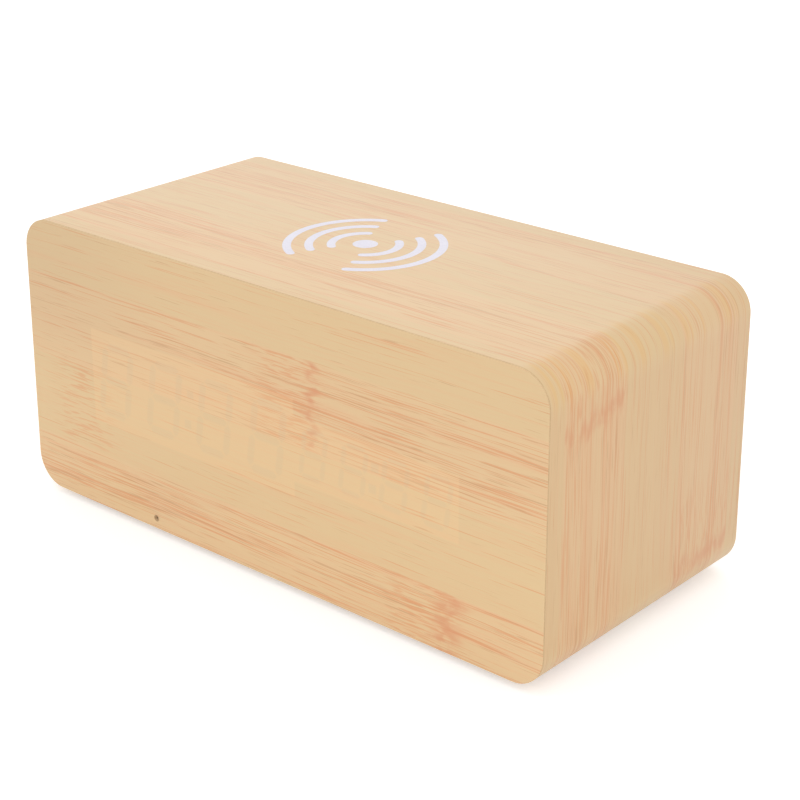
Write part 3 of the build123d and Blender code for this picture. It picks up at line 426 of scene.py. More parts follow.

# Patches of dashes, and stretches with painted light and shade and warmer streaks of grain, with how
# softly they end
PATCH_SHARE = 0.85
PATCH_END_SOFT, PATCH_SIDE_SOFT = 0.006, 0.001
TINT_SOFT = 0.003

# Front: painted shade on its upper left end, where it begins and is full, with its share, and how far the
# display shows
UPPER_NONE, UPPER_FULL, UPPER_SHADE_SHARE = 0.042, 0.018, 0.05
LEFT_NONE, LEFT_FULL, LEFT_SHADE_SHARE = -0.015, -0.070, 0.075
WINDOW_SHARE = 0.24
SEGMENT_SHARE = 0.14


class Bamboo(Graph):
    """Material of a printed film. Reads "grain": along the grain and straight across it, in metres.
    The way across that the lines follow sways a little."""

    def __init__(self, name, seed):
        super().__init__(name)
        self.seed = seed
        grain = self.node("ShaderNodeSeparateXYZ")
        self.feed(grain.inputs[0], self.attribute("grain").outputs["Vector"])
        self.along, self.straight = grain.outputs[0], grain.outputs[1]
        sway = self.noise(self.vector(self.times(self.along, 14), self.times(self.straight, 50), seed))
        self.across = self.plus(self.straight, self.times(self.minus(sway, 0.5), SWAY))

    def grained(self, along_scale, across_scale, offset, detail=2.0):
        """Noise drawn out along the grain, with so many cells per metre along and across."""
        x = self.times(self.along, along_scale)
        y = self.times(self.across, across_scale)
        return self.noise(self.vector(x, y, self.seed + offset), detail=detail)

    def summed(self, values):
        total = values[0]
        for value in values[1:]:
            total = self.plus(total, value)
        return total


def pinkish_strips(g, first_edge, first_pale, span):
    """1 in the pinkish strips and 0 in the pale ones between them."""
    strips = []
    low, pale = first_edge - STRIP, first_pale
    while low < span:
        if not pale:
            strips.append(g.between(g.straight, low, low + STRIP, STRIP_SOFT))
        low, pale = low + STRIP, not pale
    return g.summed(strips)


def knot_zones(g, knots, first_edge, span):
    """Cores of the knots, the short dashes before them and the long lines after them, each as a list."""
    cores, dashed, lined = [], [], []
    for place, number, slope, half in knots:
        low = first_edge + number * STRIP
        high = min(low + STRIP, span)
        jag = g.noise(g.vector(0.0, g.times(g.straight, 300), g.seed + place), detail=3.0)
        wander = g.times(g.minus(jag, 0.5), KNOT_WANDER)
        tilt = g.times(g.minus(g.straight, (low + high) / 2), slope)
        away = g.plus(g.minus(g.along, place), g.plus(wander, tilt))
        strip = g.between(g.straight, low, high, KNOT_SOFT)
        cores.append(g.times(strip, g.between(away, -half, half, half * KNOT_FADE)))
        dashed.append(g.times(strip, g.between(away, DASHES_FROM, DASHES_TO, DASHES_SOFT)))
        lined.append(g.times(strip, g.rise(away, LINES_FROM, LINES_TO)))
    return cores, dashed, lined


def patch_zones(g, patches):
    """Areas of short broken dashes away from the knots."""
    areas = []
    for left, right, upper, lower in patches:
        length = g.between(g.along, left, right, PATCH_END_SOFT)
        height = g.between(g.straight, upper, lower, PATCH_SIDE_SOFT)
        areas.append(g.times(g.times(length, height), PATCH_SHARE))
    return areas


def painted_light_and_streaks(g, shade, light_shade_and_streaks):
    """Stretches along the grain with painted light and shade and warmer grain, laid on evenly and in
    streaks.
    """
    for first, last, plain, streaked, tint in light_shade_and_streaks:
        share = g.plus(plain, g.rise(g.grained(12, 620, 4.4), 0.48, 0.62, streaked))
        shade = g.mix(g.times(share, g.between(g.along, first, last, TINT_SOFT)), shade, tint)
    return shade


def front_shade_and_display(g, shade):
    """Painted shade on the upper left end of the front, and the display that shines through it."""
    upper = g.rise(g.straight, UPPER_NONE, UPPER_FULL)
    left = g.rise(g.along, LEFT_NONE, LEFT_FULL)
    # painted shade: the upper left end of the front is darkened
    shade = g.mix(g.times(upper, g.plus(UPPER_SHADE_SHARE, g.times(left, LEFT_SHADE_SHARE))), shade, PAINTED_SHADE_BROWN)
    for name, share, tint in (
        ("window", WINDOW_SHARE, WINDOW_GLOW), ("segment", SEGMENT_SHARE, SEGMENT_GREY)
    ):
        shade = g.mix(g.times(g.attribute(name).outputs["Fac"], share), shade, tint)
    return shade


def bamboo_film(
    name, seed, first_edge, first_pale, span, knots,
    patches=(), contrast=1.0, even=0.0, light_shade_and_streaks=(), front=False,
):
    """Printed bamboo strips with their grain.

    first_edge, first_pale: first edge between two strips, and if the strip before it is a pale one.
    knots: (along, number of the strip after the first edge, slope, half width).
    patches: (along from, along to, across from, across to) with short broken dashes.
    even: how far the pale strips are lined like the pinkish ones.
    light_shade_and_streaks: painted light and shade with warmer grain on stretches along it, as (along
    from, along to, even share, streaked share, colour).
    front: the print that the display shines through, with painted shade on its upper left end.
    """
    g = Bamboo(name, seed)
    pink = pinkish_strips(g, first_edge, first_pale, span)
    cores, dashed, lined = knot_zones(g, knots, first_edge, span)
    dash_zone = g.summed(dashed + patch_zones(g, patches))
    bundle = g.rise(g.grained(9, 230, 2.9), 0.40, 0.62)
    dense = g.times(g.plus(even, g.times(pink, 1 - even)), g.plus(0.30, g.times(bundle, 0.70)))
    dense = g.plus(dense, g.times(g.summed(lined), 0.12))

    shade = g.mix(pink, PALE, PINKISH)
    shares = {}
    for kind, line in LINE_KINDS.items():
        lifted = g.plus(g.grained(line.along, line.across, line.offset), g.times(dense, line.lift))
        shares[kind] = g.rise(lifted, line.low, line.high, line.strength * contrast)
        shade = g.mix(shares[kind], shade, line.tint)
    dashes = g.rise(g.grained(150, 2200, 9.2), 0.50, 0.62, 0.62 * contrast)
    shade = g.mix(g.times(dashes, dash_zone), shade, LINE_RED)
    blotches = g.rise(g.grained(230, 520, 5.5, detail=3.0), 0.34, 0.62, 0.75 * contrast)
    shade = g.mix(g.times(g.summed(cores), blotches), shade, KNOT_RED)
    fibre = g.grained(45, 3200, 12.5)
    shade = g.mix(g.rise(fibre, 0.45, 0.75, 0.25 * contrast), shade, SOFT_PINK)
    shade = painted_light_and_streaks(g, shade, light_shade_and_streaks)
    if front:
        shade = front_shade_and_display(g, shade)
    g.feed(g.shader.inputs["Base Color"], shade)
    g.feed(g.shader.inputs["Roughness"], g.plus(0.38, g.times(fibre, 0.12)))
    g.bump(g.minus(fibre, shares["long"]), 0.00001, 0.4)
    return g.material


def speckled(name, first, second, scale, roughness, metallic=0.0, bump=0.0, stretch=(1, 1, 1)):
    """Surface that varies finely between two colours, with a matching relief."""
    g = Graph(name)
    place = g.node("ShaderNodeTexCoord").outputs["Object"]
    spread = g.node("ShaderNodeVectorMath", operation="MULTIPLY")
    g.feed(spread.inputs[0], place)
    spread.inputs[1].default_value = stretch
    grit = g.noise(spread.outputs[0], scale, 3.0, 0.6)
    cloud = g.noise(spread.outputs[0], scale / 12, 2.0)
    share = g.plus(g.times(grit, 0.65), g.times(cloud, 0.35))
    g.feed(g.shader.inputs["Base Color"], g.mix(g.rise(share, 0.36, 0.64), first, second))
    g.feed(g.shader.inputs["Roughness"], g.plus(roughness - 0.06, g.times(grit, 0.12)))
    g.shader.inputs["Metallic"].default_value = metallic
    if bump:
        g.bump(grit, bump)
    return g.material


# Prints of the three films. The wrap's rounded right edge takes painted light and its right side painted
# shade, both with warmer streaks of grain; they begin where the way round the case meets its right edge
EDGE_START = HALF_WIDTH - CORNER
SIDE_START = EDGE_START + CORNER * math.pi / 2
SIDE_END = SIDE_START + TOP - BOTTOM - 2 * CORNER
WRAP_LIGHT_SHADE_AND_STREAKS = [
    # rounded right edge: painted light, mostly laid in warm yellow streaks of grain
    (EDGE_START, SIDE_START, 0.02, 0.27, EDGE_LIGHT_AND_STREAK_YELLOW),
    # right side: painted shade, mostly even, with a few pinker streaks of grain
    (SIDE_START, SIDE_END, 0.13, 0.05, SIDE_SHADE_AND_STREAK_PINK),
]
WRAP_KNOTS = [(0.0855, 0, 0.2, 0.0018), (0.1300, 2, 0.1, 0.0020), (-0.112, 0, 0.1, 0.0018)]
FRONT_KNOTS = [(0.0145, 0, 0.0, 0.0013), (0.0510, 2, 0.1, 0.0030)]
FRONT_PATCHES = [(-0.066, -0.048, 0.033, 0.052)]
BACK_KNOTS = [(-0.041, 1, 0.1, 0.0018)]
BACK_PATCHES = [(0.040, 0.058, 0.011, 0.030)]
WRAP_FILM = bamboo_film(
    "wrap_bamboo", 3.0, 0.005, True, DEPTH, WRAP_KNOTS, contrast=0.76, even=0.5, light_shade_and_streaks=WRAP_LIGHT_SHADE_AND_STREAKS
)
FRONT_FILM = bamboo_film(
    "front_bamboo", 11.0, 0.013, True, TOP - BOTTOM, FRONT_KNOTS, FRONT_PATCHES, front=True
)
BACK_FILM = bamboo_film(
    "back_bamboo", 23.0, 0.011, False, TOP - BOTTOM, BACK_KNOTS, BACK_PATCHES, contrast=0.8
)

# Other materials

FILM_EDGE = speckled(
    "film_edge", colour(226, 194, 148), colour(209, 174, 130), 4000, 0.7, stretch=(0.2, 1, 1)
)
SEAM_EDGE = speckled("seam_edge", colour(232, 202, 156), colour(204, 172, 130), 190, 0.7)
FIBREBOARD = speckled("fibreboard", colour(190, 158, 120), colour(160, 126, 90), 1500, 0.85, bump=0.00004)
WHITE_PLASTIC = speckled("white_plastic", colour(236, 236, 232), colour(226, 226, 220), 3000, 0.4)
BLACK_PLASTIC = speckled("black_plastic", colour(30, 30, 31), colour(40, 40, 41), 5200, 0.52, bump=0.00002)
BLACK_GLOSS = speckled("black_gloss", colour(22, 22, 23), colour(29, 29, 30), 1800, 0.28)
BOARD_GREEN = speckled("board_green", colour(34, 96, 60), colour(46, 120, 74), 500, 0.35, bump=0.00001)
CHIP_BLACK = speckled("chip_black", colour(34, 34, 36), colour(46, 46, 48), 4000, 0.6)
LAMP_WHITE = speckled("lamp_white", colour(240, 238, 222), colour(228, 222, 190), 2500, 0.3)
ZINC = speckled("zinc", colour(190, 190, 186), colour(166, 166, 162), 1600, 0.34, 1.0)
BLACK_STEEL = speckled("black_steel", colour(42, 41, 41), colour(58, 57, 56), 2600, 0.38, 0.85, 0.00001)
STEEL = speckled(
    "steel", colour(206, 206, 204), colour(184, 184, 182), 1400, 0.24, 1.0, stretch=(1, 0.1, 1)
)
NICKEL = speckled("nickel", colour(202, 198, 188), colour(180, 176, 166), 1400, 0.28, 1.0)
COPPER = speckled("copper", colour(206, 128, 80), colour(184, 106, 62), 1400, 0.3, 1.0)
FERRITE = speckled("ferrite", colour(70, 70, 74), colour(84, 84, 88), 3000, 0.7)
RUBBER = speckled("rubber", colour(44, 43, 42), colour(56, 55, 53), 3600, 0.8, bump=0.00003)
RIBBON_GREY = speckled(
    "ribbon_grey", colour(176, 176, 178), colour(158, 158, 162), 1800, 0.5, stretch=(3, 0.1, 0.1)
)
CAPACITOR_TAN = speckled("capacitor_tan", colour(186, 150, 104), colour(168, 130, 86), 3000, 0.45)
PRINT_GREY = speckled("print_grey", colour(172, 172, 174), colour(160, 160, 163), 2600, 0.5)
PRINT_WHITE = speckled("print_white", colour(232, 228, 239), colour(224, 220, 233), 2600, 0.4)

SLOT_MATERIALS = {
    "fibreboard": FIBREBOARD, "white_plastic": WHITE_PLASTIC, "black_plastic": BLACK_PLASTIC,
    "black_gloss": BLACK_GLOSS, "board_green": BOARD_GREEN, "chip_black": CHIP_BLACK,
    "lamp_white": LAMP_WHITE, "zinc": ZINC, "black_steel": BLACK_STEEL, "steel": STEEL,
    "nickel": NICKEL, "copper": COPPER, "ferrite": FERRITE, "rubber": RUBBER,
    "ribbon_grey": RIBBON_GREY, "capacitor_tan": CAPACITOR_TAN, "bamboo_film": WRAP_FILM,
}


def dress_nodes():
    """Give every node the material of its slot in the record."""
    for part in frame["record"]["subparts"]:
        mesh = frame["nodes"][part["node"]].data
        mesh.materials.clear()
        mesh.materials.append(SLOT_MATERIALS[part["material_slot"]])


# Films of the case

def wrap_path():
    """Outline points with the way round them, zero at the middle of the top."""
    points = case_outline(0)
    ways = [0.0]
    for (ax, az), (bx, bz) in zip(points, points[1:] + points[:1]):
        ways.append(ways[-1] + math.dist((ax, az), (bx, bz)))
    half = ways[2 * (CORNER_STEPS + 1)] - (HALF_WIDTH - CORNER)
    return [way - half for way in ways]


def wrap_film():
    """Film round the four sides, its front edge at the seam, folded over the rear rim."""
    ways = wrap_path()
    lip = FILM + RIM
    # From the inside of the seam round the outside to the back: Y, inset and material up to the next row
    rows = [
        (SEAM, FILM, CUT), (SEAM, GROOVE + PRINT, SEAMED), (SEAM + GROOVE, PRINT, PRINTED),
        (BACK - REAR_FOLD, PRINT, PRINTED), (BACK - FOLD_EASE, FOLD_EASE, PRINTED),
        (BACK, REAR_FOLD, PRINTED), (BACK, lip, CUT), (BACK - FILM, lip, CUT), (BACK - FILM, FILM, CUT),
    ]
    outer_run, inner_run = 2, len(rows) - 1
    bm = bmesh.new()
    grain = bm.verts.layers.float_vector.new("grain")
    made = []
    for y, inset, _ in rows:
        if inset == lip:
            outline = rounded(HALF_WIDTH - lip, HALF_HEIGHT - lip, REBATE_RADIUS, middle=(0, MIDDLE))
        else:
            outline = case_outline(inset)
        row = []
        for way, (x, z) in zip(ways, outline + outline[:1]):
            vert = bm.verts.new((x, y, z))
            vert[grain] = (way, y - FRONT + (inset if y == BACK else 0.0), 0.0)
            row.append(vert)
        made.append(row)
    bottom = len(ways) - 2
    hole_rows = []
    for number, (low, high) in enumerate(zip(made, made[1:] + made[:1])):
        material = rows[number][2]
        faces = band(bm, low, high, closed=False)
        for face in faces:
            face.material_index = material
        if number in (outer_run, inner_run):
            bm.faces.remove(faces[bottom])
            corners = [low[bottom], low[bottom + 1], high[bottom + 1], high[bottom]]
            hole_rows.append(tray_hole(bm, grain, corners, material))
    walls(bm, hole_rows, (CUT,))
    return make_object(bm, "wrap_film_skin", [WRAP_FILM, FILM_EDGE, SEAM_EDGE])


def tray_hole(bm, grain, corners, material):
    """One side of the film's bottom run, with the cut-out for the battery tray."""
    half_x = (tray_high.x - tray_low.x) / 2 + TRAY_GAP
    half_y = (tray_high.y - tray_low.y) / 2 + TRAY_GAP
    middle = ((tray_high.x + tray_low.x) / 2, (tray_high.y + tray_low.y) / 2)
    right = max(corners, key=lambda v: v.co.x)
    loop = []
    for x, y in rounded(half_x, half_y, TRAY_RADIUS, TRAY_STEPS, middle):
        vert = bm.verts.new((x, y, right.co.z))
        vert[grain] = (right[grain].x + right.co.x - x, y - FRONT, 0.0)
        loop.append(vert)
    edges = [bm.edges.new((a, b)) for a, b in zip(loop, loop[1:] + loop[:1])]
    for a, b in zip(corners, corners[1:] + corners[:1]):
        edges.append(bm.edges.get((a, b)) or bm.edges.new((a, b)))
    filled = bmesh.ops.triangle_fill(bm, edges=edges, use_beauty=True)["geom"]
    for face in filled:
        if isinstance(face, bmesh.types.BMFace):
            face.material_index = material
    return loop


def bar(x, z, turn, length, width):
    """Points of one segment: a bar with pointed ends."""
    tip, side = length / 2, width / 2
    neck = tip - side
    points = ((-tip, 0), (-neck, -side), (neck, -side), (tip, 0), (neck, side), (-neck, side))
    c, s = math.cos(turn), math.sin(turn)
    return [(x + a * c - b * s, z + a * s + b * c) for a, b in points]


def digit_bars(x, width, digit, grow):
    """The seven segments of one leaning digit."""
    lean = math.tan(SLANT)
    stroke = digit["stroke"]
    half = (digit["height"] - stroke) / 2
    across = width - stroke
    bars = []
    for z in (-half, 0, half):
        bars.append((x + z * lean, z, 0, across - SEGMENT_GAP))
    upright = half / math.cos(SLANT) - SEGMENT_GAP
    for z in (-half / 2, half / 2):
        for side in (-across / 2, across / 2):
            bars.append((x + side + z * lean, z, math.pi / 2 - SLANT, upright))
    width = stroke + 2 * grow
    return [bar(bx, DISPLAY_Z + bz, turn, length + 2 * grow, width) for bx, bz, turn, length in bars]


def display_layout():
    """Windows as (half width, half height, X), digits as (X, width, kind) and colon dots as (X, Z)."""
    span = 2 * (HALF_WIDTH - DISPLAY_SIDE)
    large_room = span * LARGE_SHARE
    small_room = span * (1 - LARGE_SHARE)
    groups = ((LARGE, -span / 2, large_room), (SMALL, span / 2 - small_room, small_room))
    windows, digits, dots = [], [], []
    for digit, start, room in groups:
        pitch = room / DIGITS
        windows.append((room / 2, digit["window"] / 2, start + room / 2))
        for n in range(DIGITS):
            digits.append((start + pitch * (n + 0.5), pitch * DIGIT_FILL, digit))
        half = (digit["height"] - digit["stroke"]) / 2 * COLON_SPREAD
        for z in (-half, half):
            dots.append((start + room / 2 + z * math.tan(SLANT), DISPLAY_Z + z))
    return windows, digits, dots


def rectangle(x, z, half_x, half_z):
    corners = ((-1, -1), (1, -1), (1, 1), (-1, 1))
    return [(x + a * half_x, z + b * half_z) for a, b in corners]


def display_shapes(grow):
    """Windows and segments of the display as loops, grown by a margin."""
    windows, digits, dots = display_layout()
    panes = [rectangle(x, DISPLAY_Z, half_x + grow, half_z + grow) for half_x, half_z, x in windows]
    marks = []
    for x, width, digit in digits:
        marks += digit_bars(x, width, digit, grow)
    half = COLON_SIZE / 2 + grow
    marks += [rectangle(x, z, half, half) for x, z in dots]
    return panes, marks


def within(point, loop):
    """Share 0 to 1: how far a point is inside a convex loop, soft at its edge."""
    px, pz = point
    worst = -1.0
    for (ax, az), (bx, bz) in zip(loop, loop[1:] + loop[:1]):
        length = math.dist((ax, az), (bx, bz))
        worst = max(worst, ((px - ax) * (bz - az) - (pz - az) * (bx - ax)) / length)
    return min(1.0, max(0.0, 0.5 - worst / (2 * GHOST_SOFT)))


def upright_row(bm, grain, y, points):
    """Vertices of an upright film at a depth. Its grain runs along X and is counted from the top."""
    row = []
    for x, z in points:
        vert = bm.verts.new((x, y, z))
        vert[grain] = (x, TOP - z, 0.0)
        row.append(vert)
    return row


def upright_sheet(bm, grain, y, loops, holes, material):
    """Flat faces of an upright film, cut along every loop. Gives back their vertices."""
    flat, faces = sheet(loops, holes)
    verts = upright_row(bm, grain, y, flat)
    for face in faces:
        bm.faces.new([verts[n] for n in face]).material_index = material
    return verts


def front_film():
    """Front film in one piece, with the pinhole, and the display that shows faintly through it."""
    panes, marks = display_shapes(0.0)
    cuts = []
    for grow in (-GHOST_SOFT, GHOST_SOFT):
        grown_panes, grown_marks = display_shapes(grow)
        cuts += grown_panes + grown_marks
    pinhole = circle(MIC_X, BOTTOM + MIC_RISE, MIC_HOLE / 2, MIC_STEPS)
    core = circle(MIC_X, BOTTOM + MIC_RISE, MIC_HOLE / 2 - MIC_EASE, MIC_STEPS)
    bm = bmesh.new()
    grain = bm.verts.layers.float_vector.new("grain")
    window = bm.verts.layers.float.new("window")
    segment = bm.verts.layers.float.new("segment")
    for vert in upright_sheet(bm, grain, FRONT, [case_outline(GROOVE)] + cuts, [pinhole], PRINTED):
        point = (vert.co.x, vert.co.z)
        vert[window] = max(within(point, pane) for pane in panes)
        vert[segment] = max(within(point, mark) for mark in marks)
    edge = ((FRONT, GROOVE), (FRONT + GROOVE, 0), (SEAM - GROOVE, 0), (SEAM, GROOVE))
    rows = [upright_row(bm, grain, y, case_outline(inset)) for y, inset in edge]
    walls(bm, rows, (PRINTED, CUT, SEAMED))
    upright_sheet(bm, grain, SEAM, [case_outline(GROOVE)], [core], CUT)
    # The pinhole's eased rim and wall take the dark fibreboard brown: painted shade that makes the hole
    # darker than its shape does
    wall = ((FRONT, pinhole), (FRONT + MIC_EASE_DEPTH, core), (SEAM, core))
    rows = [upright_row(bm, grain, y, points) for y, points in wall]
    walls(bm, rows, (HOLE_SHADE, HOLE_SHADE))
    return make_object(bm, "front_film_skin", [FRONT_FILM, FILM_EDGE, SEAM_EDGE, FIBREBOARD])


def screw_places():
    """Middles of the four back screws, in X and Z."""
    low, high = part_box("back_screws")
    half = SCREW_HEAD / 2
    return [(x, z) for x in (low.x + half, high.x - half) for z in (low.z + half, high.z - half)]


def grown(loop, away):
    """A closed loop moved outwards, each point along the mean normal of its two sides."""
    area = sum(ax * bz - bx * az for (ax, az), (bx, bz) in zip(loop, loop[1:] + loop[:1]))
    turn = -1 if area > 0 else 1
    moved = []
    for before, point, after in zip(loop[-1:] + loop[:-1], loop, loop[1:] + loop[:1]):
        along = Vector(after) - Vector(before)
        out = Vector((-along.y, along.x)).normalized() * away * turn
        moved.append((point[0] + out.x, point[1] + out.y))
    return moved


def extruded_sheet(name, outline, holes, y, depth, edge, materials):
    """Closed plate facing the back, its outline and holes eased by an edge."""
    bm = bmesh.new()
    grain = bm.verts.layers.float_vector.new("grain")
    side = len(materials) - 1
    loops = [outline] + holes
    eased = [grown(outline, -edge)] + [grown(hole, edge) for hole in holes]
    for shape, height, material in ((eased, y, 0), (loops, y - depth, side)):
        upright_sheet(bm, grain, height, shape[:1], shape[1:], material)
    for face_loop, loop in zip(eased, loops):
        rows = [upright_row(bm, grain, y, face_loop)]
        rows += [upright_row(bm, grain, y - drop, loop) for drop in (edge, depth)]
        walls(bm, rows, (side, side))
    return make_object(bm, name, materials)


def back_film():
    """Film on the back panel, open at the controls and the screws."""
    inset = FILM + RIM + PANEL_GAP
    outline = rounded(HALF_WIDTH - inset, HALF_HEIGHT - inset, REBATE_RADIUS - PANEL_GAP, 6, (0, MIDDLE))
    window = rounded(CONTROL_WIDTH / 2, CONTROL_HEIGHT / 2, CONTROL_RADIUS, 8, (0, MIDDLE))
    holes = [circle(x, z, SCREW_HEAD / 2 + SCREW_GAP) for x, z in screw_places()]
    return extruded_sheet(
        "back_film_skin", outline, [window] + holes, BACK, FILM, PRINT, [BACK_FILM, FILM_EDGE]
    )


def top_mark():
    """Dot and arcs printed on the top."""
    bm = bmesh.new()
    middle_y = (FRONT + BACK) / 2
    shapes = [circle(MARK_X, middle_y, MARK_DOT, 40)]
    for radius, spread in MARK_ARCS:
        for facing in (0, math.pi):
            shapes.append(arc_outline(radius, math.radians(spread), facing, middle_y))
    for shape in shapes:
        low = [bm.verts.new((x, y, TOP - 2 * PRINT)) for x, y in shape]
        high = [bm.verts.new((x, y, TOP)) for x, y in shape]
        band(bm, low, high)
        bm.faces.new(high)
        bm.faces.new(low[::-1])
    return make_object(bm, "top_mark", [PRINT_WHITE])


def arc_outline(radius, spread, facing, middle_y, steps=24, ends=8):
    """Outline of a round-ended arc."""
    half = MARK_STROKE / 2
    outer, inner = [], []
    for n in range(steps + 1):
        turn = facing - spread + 2 * spread * n / steps
        c, s = math.cos(turn), math.sin(turn)
        outer.append((MARK_X + (radius + half) * c, middle_y + (radius + half) * s))
        inner.append((MARK_X + (radius - half) * c, middle_y + (radius - half) * s))

    def cap(turn, start):
        x = MARK_X + radius * math.cos(turn)
        y = middle_y + radius * math.sin(turn)
        turns = [start + math.pi * n / ends for n in range(1, ends)]
        return [(x + half * math.cos(t), y + half * math.sin(t)) for t in turns]

    last = facing + spread
    first = facing - spread
    return outer + cap(last, last) + inner[::-1] + cap(first, first + math.pi)


# Controls, screws and feet

def control_face():
    """Black moulding in the back with its holes."""
    y = BACK - CONTROL_RECESS
    half_x = CONTROL_WIDTH / 2 - PANEL_GAP
    half_z = CONTROL_HEIGHT / 2 - PANEL_GAP
    outline = rounded(half_x, half_z, CONTROL_RADIUS - PANEL_GAP, 8, (0, MIDDLE))
    holes = []
    for name in ("button_set", "button_up", "button_down"):
        low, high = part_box(name)
        holes.append(circle((low.x + high.x) / 2, MIDDLE, BUTTON_DIAMETER / 2 + BUTTON_GAP, 48))
    low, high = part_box("usb_port")
    half_x = (high.x - low.x) / 2 + USB_GAP
    half_z = (high.z - low.z) / 2 + USB_GAP
    almost_round = 0.999 * half_z
    holes.append(rounded(half_x, half_z, almost_round, 12, ((low.x + high.x) / 2, MIDDLE)))
    low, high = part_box("buzzer")
    x = (low.x + high.x) / 2
    for hole_x, hole_z in [(x, MIDDLE)] + circle(x, MIDDLE, SOUND_RING, SOUND_HOLES_ROUND):
        holes.append(circle(hole_x, hole_z, SOUND_HOLE / 2, 20))
    return extruded_sheet("control_face", outline, holes, y, CONTROL_WALL, CONTROL_EDGE, [BLACK_PLASTIC])


def facing_turn(facing):
    """Turn that brings Z to face one way."""
    return Vector((0, 0, 1)).rotation_difference(Vector(facing)).to_matrix().to_4x4()


def turned(name, profile, places, facing, materials, steps=40):
    """One or more turned shapes in one object, each set at a place and facing one way."""
    bm = bmesh.new()
    turn = facing_turn(facing)
    for place in places:
        first = len(bm.verts)
        revolve(bm, profile, steps)
        bm.verts.ensure_lookup_table()
        bmesh.ops.transform(bm, matrix=Matrix.Translation(place) @ turn, verts=bm.verts[first:])
    return make_object(bm, name, materials)


def button_cap(name, node, sign):
    """Round button with a stem, a collar, an eased rim, a shallow dish and a raised sign."""
    low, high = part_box(node)
    rim = high.y
    radius = BUTTON_DIAMETER / 2
    collar = (high.x - low.x) / 2
    seat = BACK - CONTROL_RECESS - CONTROL_WALL - BUTTON_GAP - rim
    profile = [
        (BUTTON_STEM, low.y - rim), (BUTTON_STEM, seat - BUTTON_COLLAR),
        (collar, seat - BUTTON_COLLAR), (collar, seat), (radius, seat),
    ]
    for n in range(6):
        angle = math.pi / 2 * n / 5
        drop = BUTTON_EASE * (1 - math.sin(angle))
        profile.append((radius - BUTTON_EASE * (1 - math.cos(angle)), -drop))
    for share in (0.75, 0.5, 0.25, 0.02):
        profile.append((radius * share, -BUTTON_DISH * (1 - share ** 2)))
    bm = bmesh.new()
    revolve(bm, profile, 48)
    outline = sign_outline(sign)
    foot, face = [[bm.verts.new((a, b, -drop)) for a, b in outline] for drop in (SIGN_FOOT, SIGN_FACE)]
    raised = band(bm, foot, face) + [bm.faces.new(face), bm.faces.new(foot[::-1])]
    for part in raised:
        part.material_index = 1
    turn = Matrix(((-1, 0, 0, 0), (0, 0, 1, 0), (0, 1, 0, 0), (0, 0, 0, 1)))
    place = Matrix.Translation(((low.x + high.x) / 2, rim, MIDDLE))
    bmesh.ops.transform(bm, matrix=place @ turn, verts=bm.verts)
    return make_object(bm, name, [BLACK_GLOSS, PRINT_GREY])


def sign_outline(sign):
    """Plain raised sign on a button: arrow up, arrow down or a dot."""
    if sign == "dot":
        return circle(0, 0, SIGN_DOT, 24)
    point = 1 if sign == "up" else -1
    base = -ARROW_BASE * point
    return [(-ARROW_HALF_WIDTH, base), (ARROW_HALF_WIDTH, base), (0, ARROW_TIP * point)]


def cross_screws(name, places, facing, material):
    """Countersunk screws with a cross recess in the head."""
    head = SCREW_HEAD / 2
    profile = [
        (SCREW_SHANK, -SCREW_LENGTH), (SCREW_SHANK, -SCREW_CONE), (head, -SCREW_RIM),
        (head, -SCREW_EASE), (head * SCREW_FACE_SHARE, 0.0),
    ]
    screws = turned(name, profile, places, facing, [material], 32)
    cutter = bmesh.new()
    turn = facing_turn(facing)
    for place in places:
        for quarter in (0, math.pi / 2):
            spot = Matrix.Translation(place) @ turn @ Matrix.Rotation(quarter + CROSS_TURN, 4, "Z")
            size = Matrix.Diagonal((CROSS_LENGTH, CROSS_WIDTH, CROSS_HEIGHT, 1))
            bmesh.ops.create_cube(cutter, size=1.0, matrix=spot @ size)
    tool = make_object(cutter, name + "_cut", [])
    cut = screws.modifiers.new("cross", "BOOLEAN")
    cut.operation = "DIFFERENCE"
    cut.solver = "EXACT"
    cut.use_self = True
    cut.object = tool
    shape = screws.evaluated_get(bpy.context.evaluated_depsgraph_get())
    solid = bpy.data.meshes.new_from_object(shape)
    screws.modifiers.clear()
    screws.data = solid
    bpy.data.objects.remove(tool)
    return screws


def foot_pads():
    """Round rubber feet with an eased rim."""
    low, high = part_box("feet")
    profile = [(FOOT_RADIUS, high.z - low.z), (FOOT_RADIUS, FOOT_EASE)]
    for n in range(1, 6):
        angle = math.pi / 2 * n / 5
        inward = FOOT_EASE * (1 - math.cos(angle))
        profile.append((FOOT_RADIUS - inward, FOOT_EASE * (1 - math.sin(angle))))
    profile.append((FOOT_RADIUS * FOOT_DISH_SHARE, FOOT_DISH))
    places = []
    for x in (low.x + FOOT_RADIUS, high.x - FOOT_RADIUS):
        for y in (low.y + FOOT_RADIUS, high.y - FOOT_RADIUS):
            places.append((x, y, 0))
    return turned("foot_pads", profile, places, (0, 0, 1), [RUBBER])


